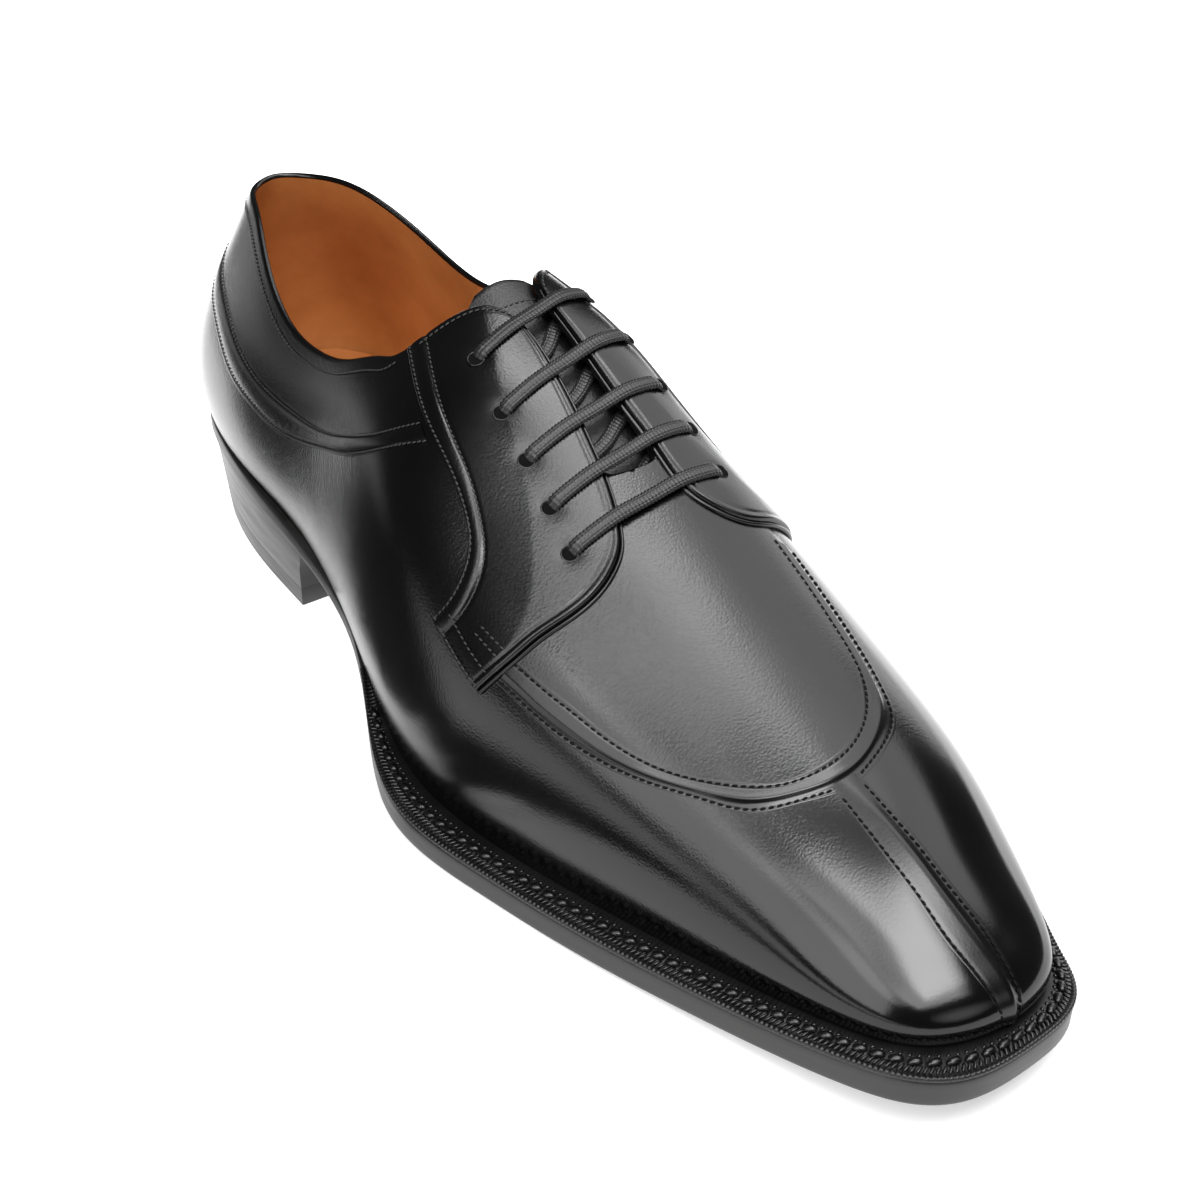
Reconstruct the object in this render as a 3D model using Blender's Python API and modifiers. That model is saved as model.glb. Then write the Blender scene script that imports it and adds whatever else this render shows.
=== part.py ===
"""Right dress shoe: a split-toe derby with a welted leather sole and a stacked heel.

Lengths are in millimetres until a mesh is made. Along the foot, s runs from the back of
the heel to the toe; x is negative on the lateral side; z is the height above the floor.
The last is a ring of ribs. Row numbers count the ribs from the heel back (0) to the toe tip
(14); the medial ribs run on from 14 back to 28. On each rib v runs from the feather line
where the upper meets the welt (0) to the cone or ridge of the last (1).
"""

import bmesh
import bpy
import numpy as np
from mathutils import Vector

MM = 0.001
X_SHIFT = 3.39
Y_SHIFT = 152.08

# Thicknesses and gaps
WALL = 1.6
GAP = 0.3
TOE_SPRING = 9.0
SPRING_START = 200.0
TOP_PIECE = 6.0
INSOLE_TOP = 2.2
TONGUE_DEPTH = 2.9
TONGUE_THICK = 1.7
FACING_THICK = 1.5
EYELET_RADIUS = 2.1
LACE_RADIUS = 1.25
LACE_RIDE = 3.6
# Shares of a lace bar's span at which it rests on the facings
LACE_STOPS = (0.08, 0.18, 0.29, 0.71, 0.82, 0.92)

# Feather line, a row per rib: s, lateral x, medial x, lateral welt width, medial welt width
FEATHER = (
    (1.6, 0.0, 0.0, 1.6, 1.6),
    (6.0, 19.5, 19.5, 1.6, 1.6),
    (24.0, 28.6, 29.4, 1.7, 1.7),
    (50.0, 32.0, 30.6, 1.7, 1.6),
    (80.0, 33.0, 28.0, 1.5, 1.4),
    (110.0, 37.5, 26.0, 0.0, 1.0),
    (138.0, 45.0, 27.5, 3.4, 2.6),
    (165.0, 49.4, 33.0, 7.8, 5.6),
    (192.0, 46.0, 39.5, 7.7, 7.0),
    (218.0, 39.4, 43.2, 7.8, 7.3),
    (244.0, 32.2, 40.5, 7.4, 7.2),
    (267.0, 25.6, 33.2, 7.0, 5.4),
    (285.0, 19.0, 24.8, 7.2, 4.0),
    (294.2, 10.2, 15.8, 7.8, 5.4),
    (297.2, -2.6, 2.6, 7.4, 7.4),
)

# Cone top and ridge of the last, a row per rib: s, x, half width, z, slope along the foot, slope across
CONE = (
    (17.0, 0.0, 0.0, 116.0, 0.0, 0.0),
    (22.0, 0.0, 4.0, 117.0, 0.0, 0.0),
    (36.0, 0.0, 8.0, 118.0, 0.0, 0.0),
    (58.0, 0.0, 10.0, 119.0, 0.0, 0.0),
    (84.0, 0.5, 7.0, 118.0, 0.0, 0.0),
    (110.0, 2.0, 0.0, 107.6, -0.20, 0.05),
    (134.0, 2.6, 0.0, 97.3, -0.43, 0.06),
    (157.0, 2.0, 0.0, 86.8, -0.48, 0.06),
    (182.0, 1.0, 0.0, 74.4, -0.48, 0.06),
    (206.0, 0.4, 0.0, 64.0, -0.44, 0.06),
    (228.0, 0.4, 0.0, 54.7, -0.44, 0.06),
    (246.0, 0.6, 0.0, 47.0, -0.42, 0.04),
    (257.0, 1.3, 0.0, 42.8, -0.35, 0.0),
    (262.5, 1.7, 0.0, 41.0, -0.32, 0.0),
    (265.0, 1.9, 0.0, 40.2, -0.31, 0.0),
)

# Rib fullness, a row per rib: lateral out, rise, shoulder; medial out, rise, shoulder; drop at the cone
FULLNESS = (
    (9.0, 30.0, 1.0, 9.0, 30.0, 1.0, 30.0),
    (9.0, 30.0, 2.0, 9.0, 30.0, 2.0, 32.0),
    (8.0, 30.0, 5.0, 8.0, 31.0, 5.0, 34.0),
    (8.0, 30.0, 9.0, 8.0, 32.0, 9.0, 34.0),
    (11.0, 32.0, 11.0, 9.0, 38.0, 14.0, 29.0),
    (13.0, 47.0, 24.0, 9.0, 55.0, 26.0, 9.0),
    (11.0, 62.0, 30.0, 7.5, 69.0, 29.0, 0.0),
    (7.0, 54.0, 32.5, 7.0, 60.5, 29.0, 0.0),
    (4.5, 43.0, 33.0, 6.2, 49.0, 29.0, 0.0),
    (3.2, 31.0, 30.5, 5.0, 35.0, 28.5, 0.0),
    (3.0, 20.0, 25.0, 5.2, 24.5, 27.0, 0.0),
    (3.0, 12.0, 19.0, 4.6, 17.0, 23.0, 0.0),
    (3.0, 9.0, 16.0, 3.5, 12.0, 20.0, 0.0),
    (3.0, 8.5, 17.0, 3.0, 9.0, 18.0, 0.0),
    (3.0, 8.5, 18.0, 3.0, 8.5, 18.0, 0.0),
)

# Side profile of the sole: s, z of the feather line
FEATHER_Z = ((-6, 29.2), (0, 29.0), (40, 27.3), (80, 24.0), (105, 18.6), (130, 12.7), (155, 9.7),
             (180, 9.2), (205, 9.2), (235, 10.2), (265, 12.6), (297, 17.2), (308, 18.9))
# Underside behind the tread: s, z
WAIST_Z = ((-6, 23.9), (20, 23.0), (40, 22.0), (60, 20.5), (80, 18.7), (100, 14.6), (120, 8.4),
           (140, 2.3), (152, 0.2), (160, -0.6), (180, -1.0))
# Depth of the outsole's top under the feather line, where the welt lies between them: s, depth
SEAT_DEPTH = ((-6, 0.3), (100, 0.3), (112, 0.5), (120, 1.3), (130, 2.2), (140, 2.6), (150, 2.7), (308, 2.7))

# Top edge of the upper: row, lateral v, medial v
TOP_EDGE = ((0.0, 0.700, 0.700), (1.0, 0.700, 0.700), (2.0, 0.700, 0.700), (2.92, 0.613, 0.620),
            (3.52, 0.546, 0.560), (4.06, 0.537, 0.550), (4.50, 0.562, 0.580), (4.96, 0.619, 0.650),
            (5.28, 0.710, 0.755), (5.45, 0.845, 0.838), (5.58, 0.910, 0.878), (5.76, 0.940, 0.905),
            (6.10, 0.950, 0.925), (6.60, 0.952, 0.925), (7.10, 0.938, 0.910), (7.48, 0.930, 0.908),
            (7.66, 0.945, 0.935), (7.78, 0.970, 0.970), (7.86, 1.0, 1.0))
THROAT_END = 7.86

# Facings in (row, v): rear seam bottom to top, front and throat edge bottom to top, top edge rear to front
FACING_LATERAL = {
    "rear": ((6.98, 0.352), (7.08, 0.420), (7.10, 0.478), (7.02, 0.545), (6.80, 0.582), (6.42, 0.602),
             (6.00, 0.612), (5.58, 0.642), (5.24, 0.680)),
    "front": ((7.64, 0.319), (7.88, 0.475), (7.96, 0.544), (8.08, 0.644), (8.14, 0.731), (8.12, 0.806),
              (8.02, 0.863), (7.92, 0.884), (7.76, 0.904), (7.50, 0.925), (7.34, 0.932), (6.92, 0.948),
              (6.56, 0.957), (6.32, 0.960), (5.94, 0.954), (5.76, 0.942)),
    "top": ((5.24, 0.680), (5.30, 0.722), (5.43, 0.838), (5.57, 0.911), (5.76, 0.942)),
}
FACING_MEDIAL = {
    "rear": ((6.98, 0.360), (7.08, 0.430), (7.10, 0.490), (7.02, 0.560), (6.80, 0.603), (6.42, 0.632),
             (6.00, 0.655), (5.58, 0.692), (5.22, 0.732)),
    "front": ((7.64, 0.340), (7.86, 0.455), (7.96, 0.550), (8.06, 0.660), (8.11, 0.740), (8.08, 0.800),
              (7.99, 0.845), (7.88, 0.876), (7.74, 0.893), (7.40, 0.902), (6.96, 0.919), (6.46, 0.931),
              (6.10, 0.930), (5.78, 0.909)),
    "top": ((5.22, 0.732), (5.28, 0.760), (5.42, 0.828), (5.58, 0.881), (5.78, 0.909)),
}
EYELETS_LATERAL = ((5.96, 0.812), (6.52, 0.794), (6.98, 0.786), (7.40, 0.773), (7.77, 0.752))
EYELETS_MEDIAL = ((5.74, 0.735), (6.24, 0.725), (6.75, 0.728), (7.20, 0.725), (7.66, 0.728))

# Raised seams in (row, v): half width and height, then the line
APRON_WIDTH = 3.0
APRON_HEIGHT = 1.2
APRON_LATERAL = ((8.02, 0.416), (8.22, 0.420), (8.46, 0.431), (8.80, 0.450), (9.27, 0.497), (9.69, 0.566),
                 (10.08, 0.644), (10.48, 0.766), (10.84, 0.897), (11.08, 1.0))
APRON_MEDIAL = ((11.08, 1.0), (10.80, 0.920), (10.45, 0.819), (10.15, 0.750), (9.90, 0.718), (9.20, 0.668),
                (8.70, 0.655), (8.32, 0.655))
TOE_SEAM_WIDTH = 2.6
TOE_SEAM_HEIGHT = 1.1
TOE_SEAM = ((11.31, 0.950), (11.89, 0.952), (12.60, 0.940), (13.16, 0.923), (13.71, 0.805), (13.88, 0.633),
            (13.96, 0.470), (14.00, 0.250), (14.00, 0.040))
COLLAR_SEAM_WIDTH = 1.7
COLLAR_SEAM_HEIGHT = 0.9
COLLAR_SEAM = ((5.84, 0.545), (5.50, 0.474), (5.10, 0.421), (4.50, 0.372), (3.82, 0.331), (3.27, 0.325),
               (2.76, 0.347), (2.20, 0.398), (1.60, 0.440), (1.00, 0.472), (0.0, 0.490))

# Tongue in (row, v): rows of row, lateral v, medial v
TONGUE = ((5.30, 0.905, 0.890), (5.38, 0.860, 0.840), (5.56, 0.815, 0.785), (6.20, 0.780, 0.745),
          (7.00, 0.755, 0.720), (7.60, 0.765, 0.735), (8.00, 0.820, 0.795), (8.22, 0.880, 0.860))

# Edge profiles from below: inset from the outline, share of the thickness
OUTSOLE_EDGE = ((0.8, 0.0), (0.25, 0.08), (0.1, 0.3), (0.1, 0.85), (0.5, 1.0))
# Heel from below: inset from the outline, s of the breast
HEEL_EDGE = {"floor": (2.2, 75.8), "joint": (1.9, 76.4), "middle": (1.4, 77.0), "seat": (0.8, 79.2)}


def spline(knots, values, at):
    """Smooth cubic through the knots with free ends."""
    t = np.asarray(knots, float)
    y = np.asarray(values, float)
    n = len(t)
    flat = y.reshape(n, -1)
    step = np.diff(t)
    rate = np.diff(flat, axis=0) / step[:, None]
    matrix = np.zeros((n, n))
    right = np.zeros_like(flat)
    matrix[0, :2] = (2.0, 1.0)
    matrix[-1, -2:] = (1.0, 2.0)
    right[0] = 3.0 * rate[0]
    right[-1] = 3.0 * rate[-1]
    for i in range(1, n - 1):
        matrix[i, i - 1:i + 2] = (1 / step[i - 1], 2 / step[i - 1] + 2 / step[i], 1 / step[i])
        right[i] = 3.0 * (rate[i - 1] / step[i - 1] + rate[i] / step[i])
    slope = np.linalg.solve(matrix, right)
    at = np.asarray(at, float)
    q = at.ravel()
    i = np.clip(np.searchsorted(t, q, side="right") - 1, 0, n - 2)
    h = step[i][:, None]
    w = ((q - t[i]) / step[i])[:, None]
    start = (1 + 2 * w) * (1 - w) ** 2 * flat[i] + w * (1 - w) ** 2 * h * slope[i]
    end = w * w * (3 - 2 * w) * flat[i + 1] - w * w * (1 - w) * h * slope[i + 1]
    return (start + end).reshape(at.shape + y.shape[1:])


def table(rows, at):
    """Spline of a two-column table."""
    knots, values = np.array(rows, float).T
    return spline(knots, values, at)


def path(points, count):
    """Evenly spaced points on a smooth curve through (row, v) control points."""
    points = np.array(points, float)
    span = np.diff(points, axis=0) * (27.0, 85.0)
    length = np.r_[0.0, np.cumsum(np.hypot(span[:, 0], span[:, 1]))]
    return spline(length, points, np.linspace(0.0, length[-1], count))


def ring(lateral, medial):
    """A column round the shoe: lateral rows to the toe, then medial rows back to the heel."""
    return np.concatenate([lateral, medial[-2:0:-1]])


ROWS = len(FEATHER) - 1
PERIOD = 2 * ROWS


def rib_columns():
    """All rib columns round the shoe, repeated a little so that the spline closes."""
    f = np.array(FEATHER)
    c = np.array(CONE)
    h = np.array(FULLNESS)
    columns = [ring(f[:, 0], f[:, 0]), ring(-f[:, 1], f[:, 2]), ring(f[:, 3], f[:, 4]),
               ring(c[:, 0], c[:, 0]), ring(c[:, 1] - c[:, 2], c[:, 1] + c[:, 2]),
               ring(c[:, 3], c[:, 3]), ring(c[:, 4], c[:, 4]), ring(c[:, 5], c[:, 5]),
               ring(h[:, 0], h[:, 3]), ring(h[:, 1], h[:, 4]), ring(h[:, 2], h[:, 5]),
               ring(h[:, 6], h[:, 6])]
    knots = np.arange(-6, PERIOD + 7)
    return knots, np.stack(columns, axis=1)[knots % PERIOD]


KNOTS, COLUMNS = rib_columns()


def rib(q):
    """Values of all columns at row q."""
    return np.moveaxis(spline(KNOTS, COLUMNS, np.mod(q, PERIOD)), -1, 0)


def feather_z(s):
    return table(FEATHER_Z, s)


def sole_bottom(s):
    """Underside: heel seat and waist, flat tread, toe spring."""
    spring = TOE_SPRING * np.clip((s - SPRING_START) / (304.0 - SPRING_START), 0.0, None) ** 2
    return np.where(s < 156.0, np.maximum(table(WAIST_Z, np.minimum(s, 170.0)), 0.0), 0.0) + spring


def outsole_top(s):
    return feather_z(s) - table(SEAT_DEPTH, s)


def place(x, s, z):
    """Shoe coordinates to the part's frame."""
    return np.stack([x + X_SHIFT, Y_SHIFT - s, z], axis=-1)


def outline(q, inset):
    """Plan outline of the sole in x and s, moved in by an inset."""
    s, x, welt = rib(q)[:3]
    ahead = rib(np.asarray(q) + 0.02)
    behind = rib(np.asarray(q) - 0.02)
    tx = ahead[1] - behind[1]
    ts = ahead[0] - behind[0]
    size = np.hypot(tx, ts)
    out = welt - inset
    return x - ts / size * out, s + tx / size * out


def feather_outline(q, inset):
    """Plan of the feather line, moved in by an inset."""
    return outline(q, inset + rib(q)[2])


def last(q, v):
    """Point of the last's surface at row q and height share v."""
    q, v = np.broadcast_arrays(np.asarray(q, float), np.asarray(v, float))
    s, x, _, cone_s, cone_x, cone_z, slope, tilt, out, rise, shoulder, drop = rib(q)
    dx = x - cone_x
    ds = s - cone_s
    size = np.hypot(dx, ds)
    dx = dx / size
    ds = ds / size
    z = feather_z(s)
    p0 = place(x, s, z)
    p1 = place(x + dx * out, s + ds * out, z + rise)
    lean = (slope * ds + tilt * dx) * shoulder
    p2 = place(cone_x + dx * shoulder, cone_s + ds * shoulder, cone_z + lean - drop)
    p3 = place(cone_x, cone_s, cone_z)
    w = v[..., None]
    return (1 - w) ** 3 * p0 + 3 * w * (1 - w) ** 2 * p1 + 3 * w * w * (1 - w) * p2 + w ** 3 * p3


def side_normal(q, v):
    """Outward normal on one side of the ridge."""
    along = last(q + 0.01, v) - last(q - 0.01, v)
    up = last(q, v + 0.005) - last(q, v - 0.005)
    n = np.cross(along, up)
    return n / np.linalg.norm(n, axis=-1, keepdims=True)


def normal(q, v):
    """Outward normal; near the ridge the mean of both sides."""
    q, v = np.broadcast_arrays(np.asarray(q, float), np.asarray(v, float))
    n = side_normal(q, np.minimum(v, 0.985))
    across = side_normal(PERIOD - q, np.minimum(v, 0.985))
    share = np.clip((v - 0.9) / 0.1, 0.0, 1.0)[..., None] * 0.5
    n = (1 - share) * n + share * across
    return n / np.linalg.norm(n, axis=-1, keepdims=True)


def skin(q, v, offset):
    """Point at a distance outside the last."""
    return last(q, v) + normal(q, v) * offset


def medial(points):
    """Control points given by row on the medial side, as rows round the ring."""
    return [(PERIOD - q, v) for q, v in points]


def clear_scene():
    for item in list(bpy.data.objects):
        bpy.data.objects.remove(item, do_unlink=True)


def collection(name):
    group = bpy.data.collections.new(name)
    bpy.context.scene.collection.children.link(group)
    return group


def paint(name, colour, roughness, coat=0.0):
    material = bpy.data.materials.new(name)
    material.use_nodes = True
    shader = material.node_tree.nodes["Principled BSDF"]
    shader.inputs["Base Color"].default_value = (*colour, 1.0)
    shader.inputs["Roughness"].default_value = roughness
    shader.inputs["Coat Weight"].default_value = coat
    material.diffuse_color = (*colour, 1.0)
    return material


def add_mesh(name, points, faces, group, material):
    """Mesh object from points in millimetres, with faces turned outward."""
    mesh = bpy.data.meshes.new(name)
    mesh.from_pydata((np.asarray(points) * MM).tolist(), [], faces)
    shape = bmesh.new()
    shape.from_mesh(mesh)
    bmesh.ops.recalc_face_normals(shape, faces=shape.faces)
    shape.to_mesh(mesh)
    shape.free()
    item = bpy.data.objects.new(name, mesh)
    group.objects.link(item)
    if material:
        mesh.materials.append(material)
    return item


def rungs(n):
    """Faces across a loop that starts at the heel back and pairs both sides."""
    faces = []
    for i in range(n // 2):
        corners = [i, i + 1, n - i - 1, (n - i) % n]
        faces.append(list(dict.fromkeys(corners)))
    return [face for face in faces if len(face) > 2]


def stack(name, loops, group, material):
    """Closed solid from loops laid one over another."""
    n = len(loops[0])
    points = np.concatenate(loops)
    faces = [face[::-1] for face in rungs(n)]
    top = (len(loops) - 1) * n
    faces += [[top + k for k in face] for face in rungs(n)]
    for level in range(len(loops) - 1):
        low = level * n
        for i in range(n):
            j = (i + 1) % n
            faces.append([low + i, low + j, low + n + j, low + n + i])
    return add_mesh(name, points, faces, group, material)


def sheet(name, grid, group, material):
    """Open sheet from a grid of points."""
    rows, cols = grid.shape[:2]
    faces = []
    for i in range(rows - 1):
        for j in range(cols - 1):
            faces.append([i * cols + j, i * cols + j + 1, (i + 1) * cols + j + 1, (i + 1) * cols + j])
    return add_mesh(name, grid.reshape(-1, 3), faces, group, material)


def thicken(item, thickness, offset):
    """Gives a sheet its thickness on one side of its faces."""
    solid = item.modifiers.new("thickness", "SOLIDIFY")
    solid.thickness = thickness * MM
    solid.offset = offset
    solid.use_even_offset = True
    solid.use_quality_normals = True


def face_out(item, outward):
    """Turns all faces of a sheet so that the first looks along a direction."""
    mesh = item.data
    if mesh.polygons[0].normal.dot(Vector(outward)) < 0:
        mesh.flip_normals()


def sweep(name, points, normals, section, group, material):
    """Bar with a section of (side, height) pairs carried along a line on the upper."""
    tangent = np.gradient(points, axis=0)
    side = np.cross(normals, tangent)
    side /= np.linalg.norm(side, axis=1)[:, None]
    section = np.array(section)
    count = len(section)
    rail = points[:, None] + side[:, None] * section[None, :, :1] + normals[:, None] * section[None, :, 1:]
    faces = [list(range(count))]
    for i in range(len(points) - 1):
        for j in range(count):
            k = (j + 1) % count
            faces.append([i * count + j, i * count + k, (i + 1) * count + k, (i + 1) * count + j])
    faces.append([(len(points) - 1) * count + j for j in range(count)])
    return add_mesh(name, rail.reshape(-1, 3), faces, group, material)


def seam(name, line, width, height, group, material):
    """Raised seam that rides on the upper."""
    points = last(line[:, 0], line[:, 1])
    normals = normal(line[:, 0], line[:, 1])
    section = ((-width, GAP), (width, GAP), (width * 0.8, GAP + height * 0.7),
               (width * 0.3, GAP + height), (-width * 0.3, GAP + height), (-width * 0.8, GAP + height * 0.7))
    return sweep(name, points, normals, section, group, material)


def sole_loop(q, inset, height):
    """Loop of the sole outline at a height given along the foot."""
    x, s = outline(q, inset)
    return place(x, s, height(s))


def build_outsole(group, material):
    q = np.arange(0.0, PERIOD, 0.25)
    loops = []
    for inset, share in OUTSOLE_EDGE:
        loops.append(sole_loop(q, inset, lambda s, k=share: (1 - k) * sole_bottom(s) + k * outsole_top(s)))
    return stack("outsole", loops, group, material)


def build_welt(group, material):
    """Welt strip round the forepart from waist to waist, thinned at both ends."""
    q = np.arange(5.5, PERIOD - 5.4, 0.25)
    low_x, low_s = outline(q, 0.1)
    edge_x, edge_s = outline(q, 0.0)
    lip_x, lip_s = outline(q, 0.7)
    in_x, in_s = feather_outline(q, 3.0)
    columns = [place(low_x, low_s, outsole_top(low_s) + GAP),
               place(edge_x, edge_s, feather_z(edge_s) - GAP - 0.5),
               place(lip_x, lip_s, feather_z(lip_s) - GAP),
               place(in_x, in_s, feather_z(in_s) - GAP),
               place(in_x, in_s, outsole_top(in_s) + GAP)]
    grid = np.stack(columns, axis=1)
    count = len(columns)
    faces = [list(range(count)), [(len(q) - 1) * count + j for j in range(count)]]
    for i in range(len(q) - 1):
        for j in range(count):
            k = (j + 1) % count
            faces.append([i * count + j, i * count + k, (i + 1) * count + k, (i + 1) * count + j])
    return add_mesh("welt", grid.reshape(-1, 3), faces, group, material)


def heel_loop(inset, breast, height):
    """Loop of the heel from back to breast on both sides."""
    q = np.linspace(0.0, 4.0, 15)
    q = np.r_[q, (PERIOD - q[:0:-1])]
    x, s = outline(q, inset)
    s = s * breast / 80.0
    return place(x, s, height(s))


def build_heel(group, material, rubber):
    floor, joint, middle, seat = HEEL_EDGE.values()
    top = [heel_loop(*floor, lambda s: 0.0 * s),
           heel_loop(*joint, lambda s: 0.0 * s + TOP_PIECE)]
    lifts = [heel_loop(*joint, lambda s: 0.0 * s + TOP_PIECE + GAP),
             heel_loop(*middle, lambda s: 0.5 * (TOP_PIECE + sole_bottom(s))),
             heel_loop(*seat, lambda s: sole_bottom(s) - GAP)]
    stack("heel_top_piece", top, group, rubber)
    stack("heel_stack", lifts, group, material)


def build_insole(group, material):
    """Insole with a feathered edge: the lower part stands inside the welt."""
    q = np.arange(0.0, PERIOD, 0.5)

    def level(inset, height):
        x, s = feather_outline(q, inset)
        return place(x, s, height(s))

    loops = [level(3.6, lambda s: outsole_top(s) + GAP),
             level(3.6, lambda s: feather_z(s) + 0.4),
             level(2.3, lambda s: feather_z(s) + 0.6),
             level(2.3, lambda s: feather_z(s) + INSOLE_TOP)]
    return stack("insole", loops, group, material)


def build_upper(group, material):
    """Hollow upper: one sheet over all ribs, open at the feather line, collar and throat."""
    step = np.unique(np.r_[np.arange(0.0, 13.9, 1 / 3), 5.45, 5.56, THROAT_END, ROWS])
    levels = np.r_[0.0, 0.05, 0.13, 0.22, 0.32, 0.43, 0.54, 0.65, 0.76, 0.88, 1.0]
    edge = np.array(TOP_EDGE)
    points = []
    index = {}

    def vertex(i, j, lateral):
        q = step[i]
        ridge = q >= THROAT_END - 1e-6 and j == len(levels) - 1
        key = (i, j, lateral or i in (0, len(step) - 1) or ridge)
        if key not in index:
            top = 1.0
            if q < THROAT_END:
                top = float(spline(edge[:, 0], edge[:, 1 if key[2] else 2], q))
            index[key] = len(points)
            points.append(last(q if key[2] else PERIOD - q, levels[j] * min(top, 1.0)))
        return index[key]

    faces = []
    for lateral in (True, False):
        for i in range(len(step) - 1):
            for j in range(len(levels) - 1):
                face = [vertex(i, j, lateral), vertex(i + 1, j, lateral),
                        vertex(i + 1, j + 1, lateral), vertex(i, j + 1, lateral)]
                faces.append(list(dict.fromkeys(face)))
    upper = add_mesh("upper", points, faces, group, material)
    face_out(upper, (-0.3, 1.0, 0.0))
    thicken(upper, WALL, -1.0)
    return upper


def build_tongue(group, material):
    rows = np.array(TONGUE)
    along = np.linspace(rows[0, 0], rows[-1, 0], 14)
    grid = []
    for q in along:
        lateral = float(spline(rows[:, 0], rows[:, 1], q))
        inner = float(spline(rows[:, 0], rows[:, 2], q))
        line = [skin(q, v, -TONGUE_DEPTH) for v in np.linspace(lateral, 1.0, 5)]
        line += [skin(PERIOD - q, v, -TONGUE_DEPTH) for v in np.linspace(1.0, inner, 5)[1:]]
        grid.append(line)
    tongue = sheet("tongue", np.array(grid), group, material)
    face_out(tongue, (0.0, 0.0, 1.0))
    thicken(tongue, TONGUE_THICK, -1.0)
    return tongue


def facing_grid(shape, turn):
    """Grid of a facing in (row, v): rungs from the rear seam to the front edge."""
    along = 22
    across = 9
    rear = path(shape["rear"], along)
    front = path(shape["front"], along)
    top = path(shape["top"], across)
    g = np.linspace(0.0, 1.0, across)[None, :, None]
    f = np.linspace(0.0, 1.0, along)[:, None, None]
    flat = (1 - g) * rear[:, None] + g * front[:, None]
    bend = top[None] - ((1 - g) * rear[-1] + g * front[-1])
    grid = flat + f ** 3 * bend
    q = PERIOD - grid[..., 0] if turn else grid[..., 0]
    return skin(q, grid[..., 1], GAP + 0.05)


def punch(name, eyelets, group):
    """Row of pins that cut the eyelets."""
    shape = bmesh.new()
    for q, v in eyelets:
        axis = Vector(normal(q, v))
        made = bmesh.ops.create_cone(shape, cap_ends=True, segments=12, radius1=EYELET_RADIUS * MM,
                                     radius2=EYELET_RADIUS * MM, depth=8.0 * MM)
        turn = axis.to_track_quat("Z", "Y").to_matrix()
        bmesh.ops.rotate(shape, verts=made["verts"], matrix=turn, cent=(0, 0, 0))
        bmesh.ops.translate(shape, verts=made["verts"], vec=Vector(skin(q, v, 1.0)) * MM)
    mesh = bpy.data.meshes.new(name)
    shape.to_mesh(mesh)
    shape.free()
    item = bpy.data.objects.new(name, mesh)
    item.hide_render = True
    item.display_type = "WIRE"
    group.objects.link(item)
    return item


def build_facing(name, shape, turn, eyelets, group, cutters, material):
    facing = sheet(name, facing_grid(shape, turn), group, material)
    face_out(facing, normal(*eyelets[0]) if turn else (-1.0, 0.0, 0.3))
    thicken(facing, FACING_THICK, 1.0)
    hole = facing.modifiers.new("eyelets", "BOOLEAN")
    hole.operation = "DIFFERENCE"
    hole.solver = "EXACT"
    hole.object = punch(name + "_punch", eyelets, cutters)
    return facing


def build_seams(group, material):
    lateral = path(APRON_LATERAL, 26)
    inner = path(APRON_MEDIAL, 24)
    inner[:, 0] = PERIOD - inner[:, 0]
    apron = np.concatenate([lateral, inner[1:]])
    points = np.concatenate([last(lateral[:, 0], np.minimum(lateral[:, 1], 1.0)),
                             last(inner[1:, 0], np.minimum(inner[1:, 1], 1.0))])
    normals = normal(apron[:, 0], np.minimum(apron[:, 1], 1.0))
    section = ((-APRON_WIDTH, GAP + 0.1), (APRON_WIDTH, GAP + 0.1), (APRON_WIDTH * 0.8, GAP + APRON_HEIGHT),
               (0.0, GAP + APRON_HEIGHT), (-APRON_WIDTH * 0.9, GAP + 0.5))
    sweep("apron_seam", points, normals, section, group, material)

    seam("toe_seam", path(TOE_SEAM, 22), TOE_SEAM_WIDTH, TOE_SEAM_HEIGHT, group, material)

    half = path(COLLAR_SEAM, 24)
    other = half[-2::-1].copy()
    other[:, 0] = -other[:, 0]
    seam("collar_seam", np.concatenate([half, other]), COLLAR_SEAM_WIDTH, COLLAR_SEAM_HEIGHT, group, material)


def under(target, q, v):
    """Row and v of the last's point that lies at a plan position, from a first guess."""
    for _ in range(12):
        here = last(q, v)[:2]
        by_q = (last(q + 0.01, v)[:2] - here) / 0.01
        by_v = (last(q, v + 0.001)[:2] - here) / 0.001
        move = np.linalg.solve(np.stack([by_q, by_v], axis=1), target - here)
        q += move[0]
        v = min(v + move[1], 1.0)
    return q, v


def build_laces(group, material):
    """Five straight bars, each from a lateral eyelet over the throat to its medial eyelet."""
    for number, (start, end) in enumerate(zip(EYELETS_LATERAL, medial(EYELETS_MEDIAL)), 1):
        first = last(*start)[:2]
        final = last(*end)[:2]
        line = [skin(*start, 0.75), skin(*start, LACE_RIDE - 0.9)]
        for k in LACE_STOPS:
            guess = start if k < 0.5 else end
            q, v = under(first + (final - first) * k, guess[0], 0.5 * (guess[1] + 0.95))
            line.append(skin(q, v, LACE_RIDE))
        line += [skin(*end, LACE_RIDE - 0.9), skin(*end, 0.75)]
        curve = bpy.data.curves.new("lace_bar_%d" % number, "CURVE")
        curve.dimensions = "3D"
        curve.bevel_depth = LACE_RADIUS * MM
        curve.bevel_resolution = 1
        curve.use_fill_caps = True
        strand = curve.splines.new("POLY")
        strand.points.add(len(line) - 1)
        for point, place_at in zip(strand.points, line):
            point.co = (*(np.array(place_at) * MM), 1.0)
        curve.materials.append(material)
        group.objects.link(bpy.data.objects.new("lace_bar_%d" % number, curve))


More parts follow.
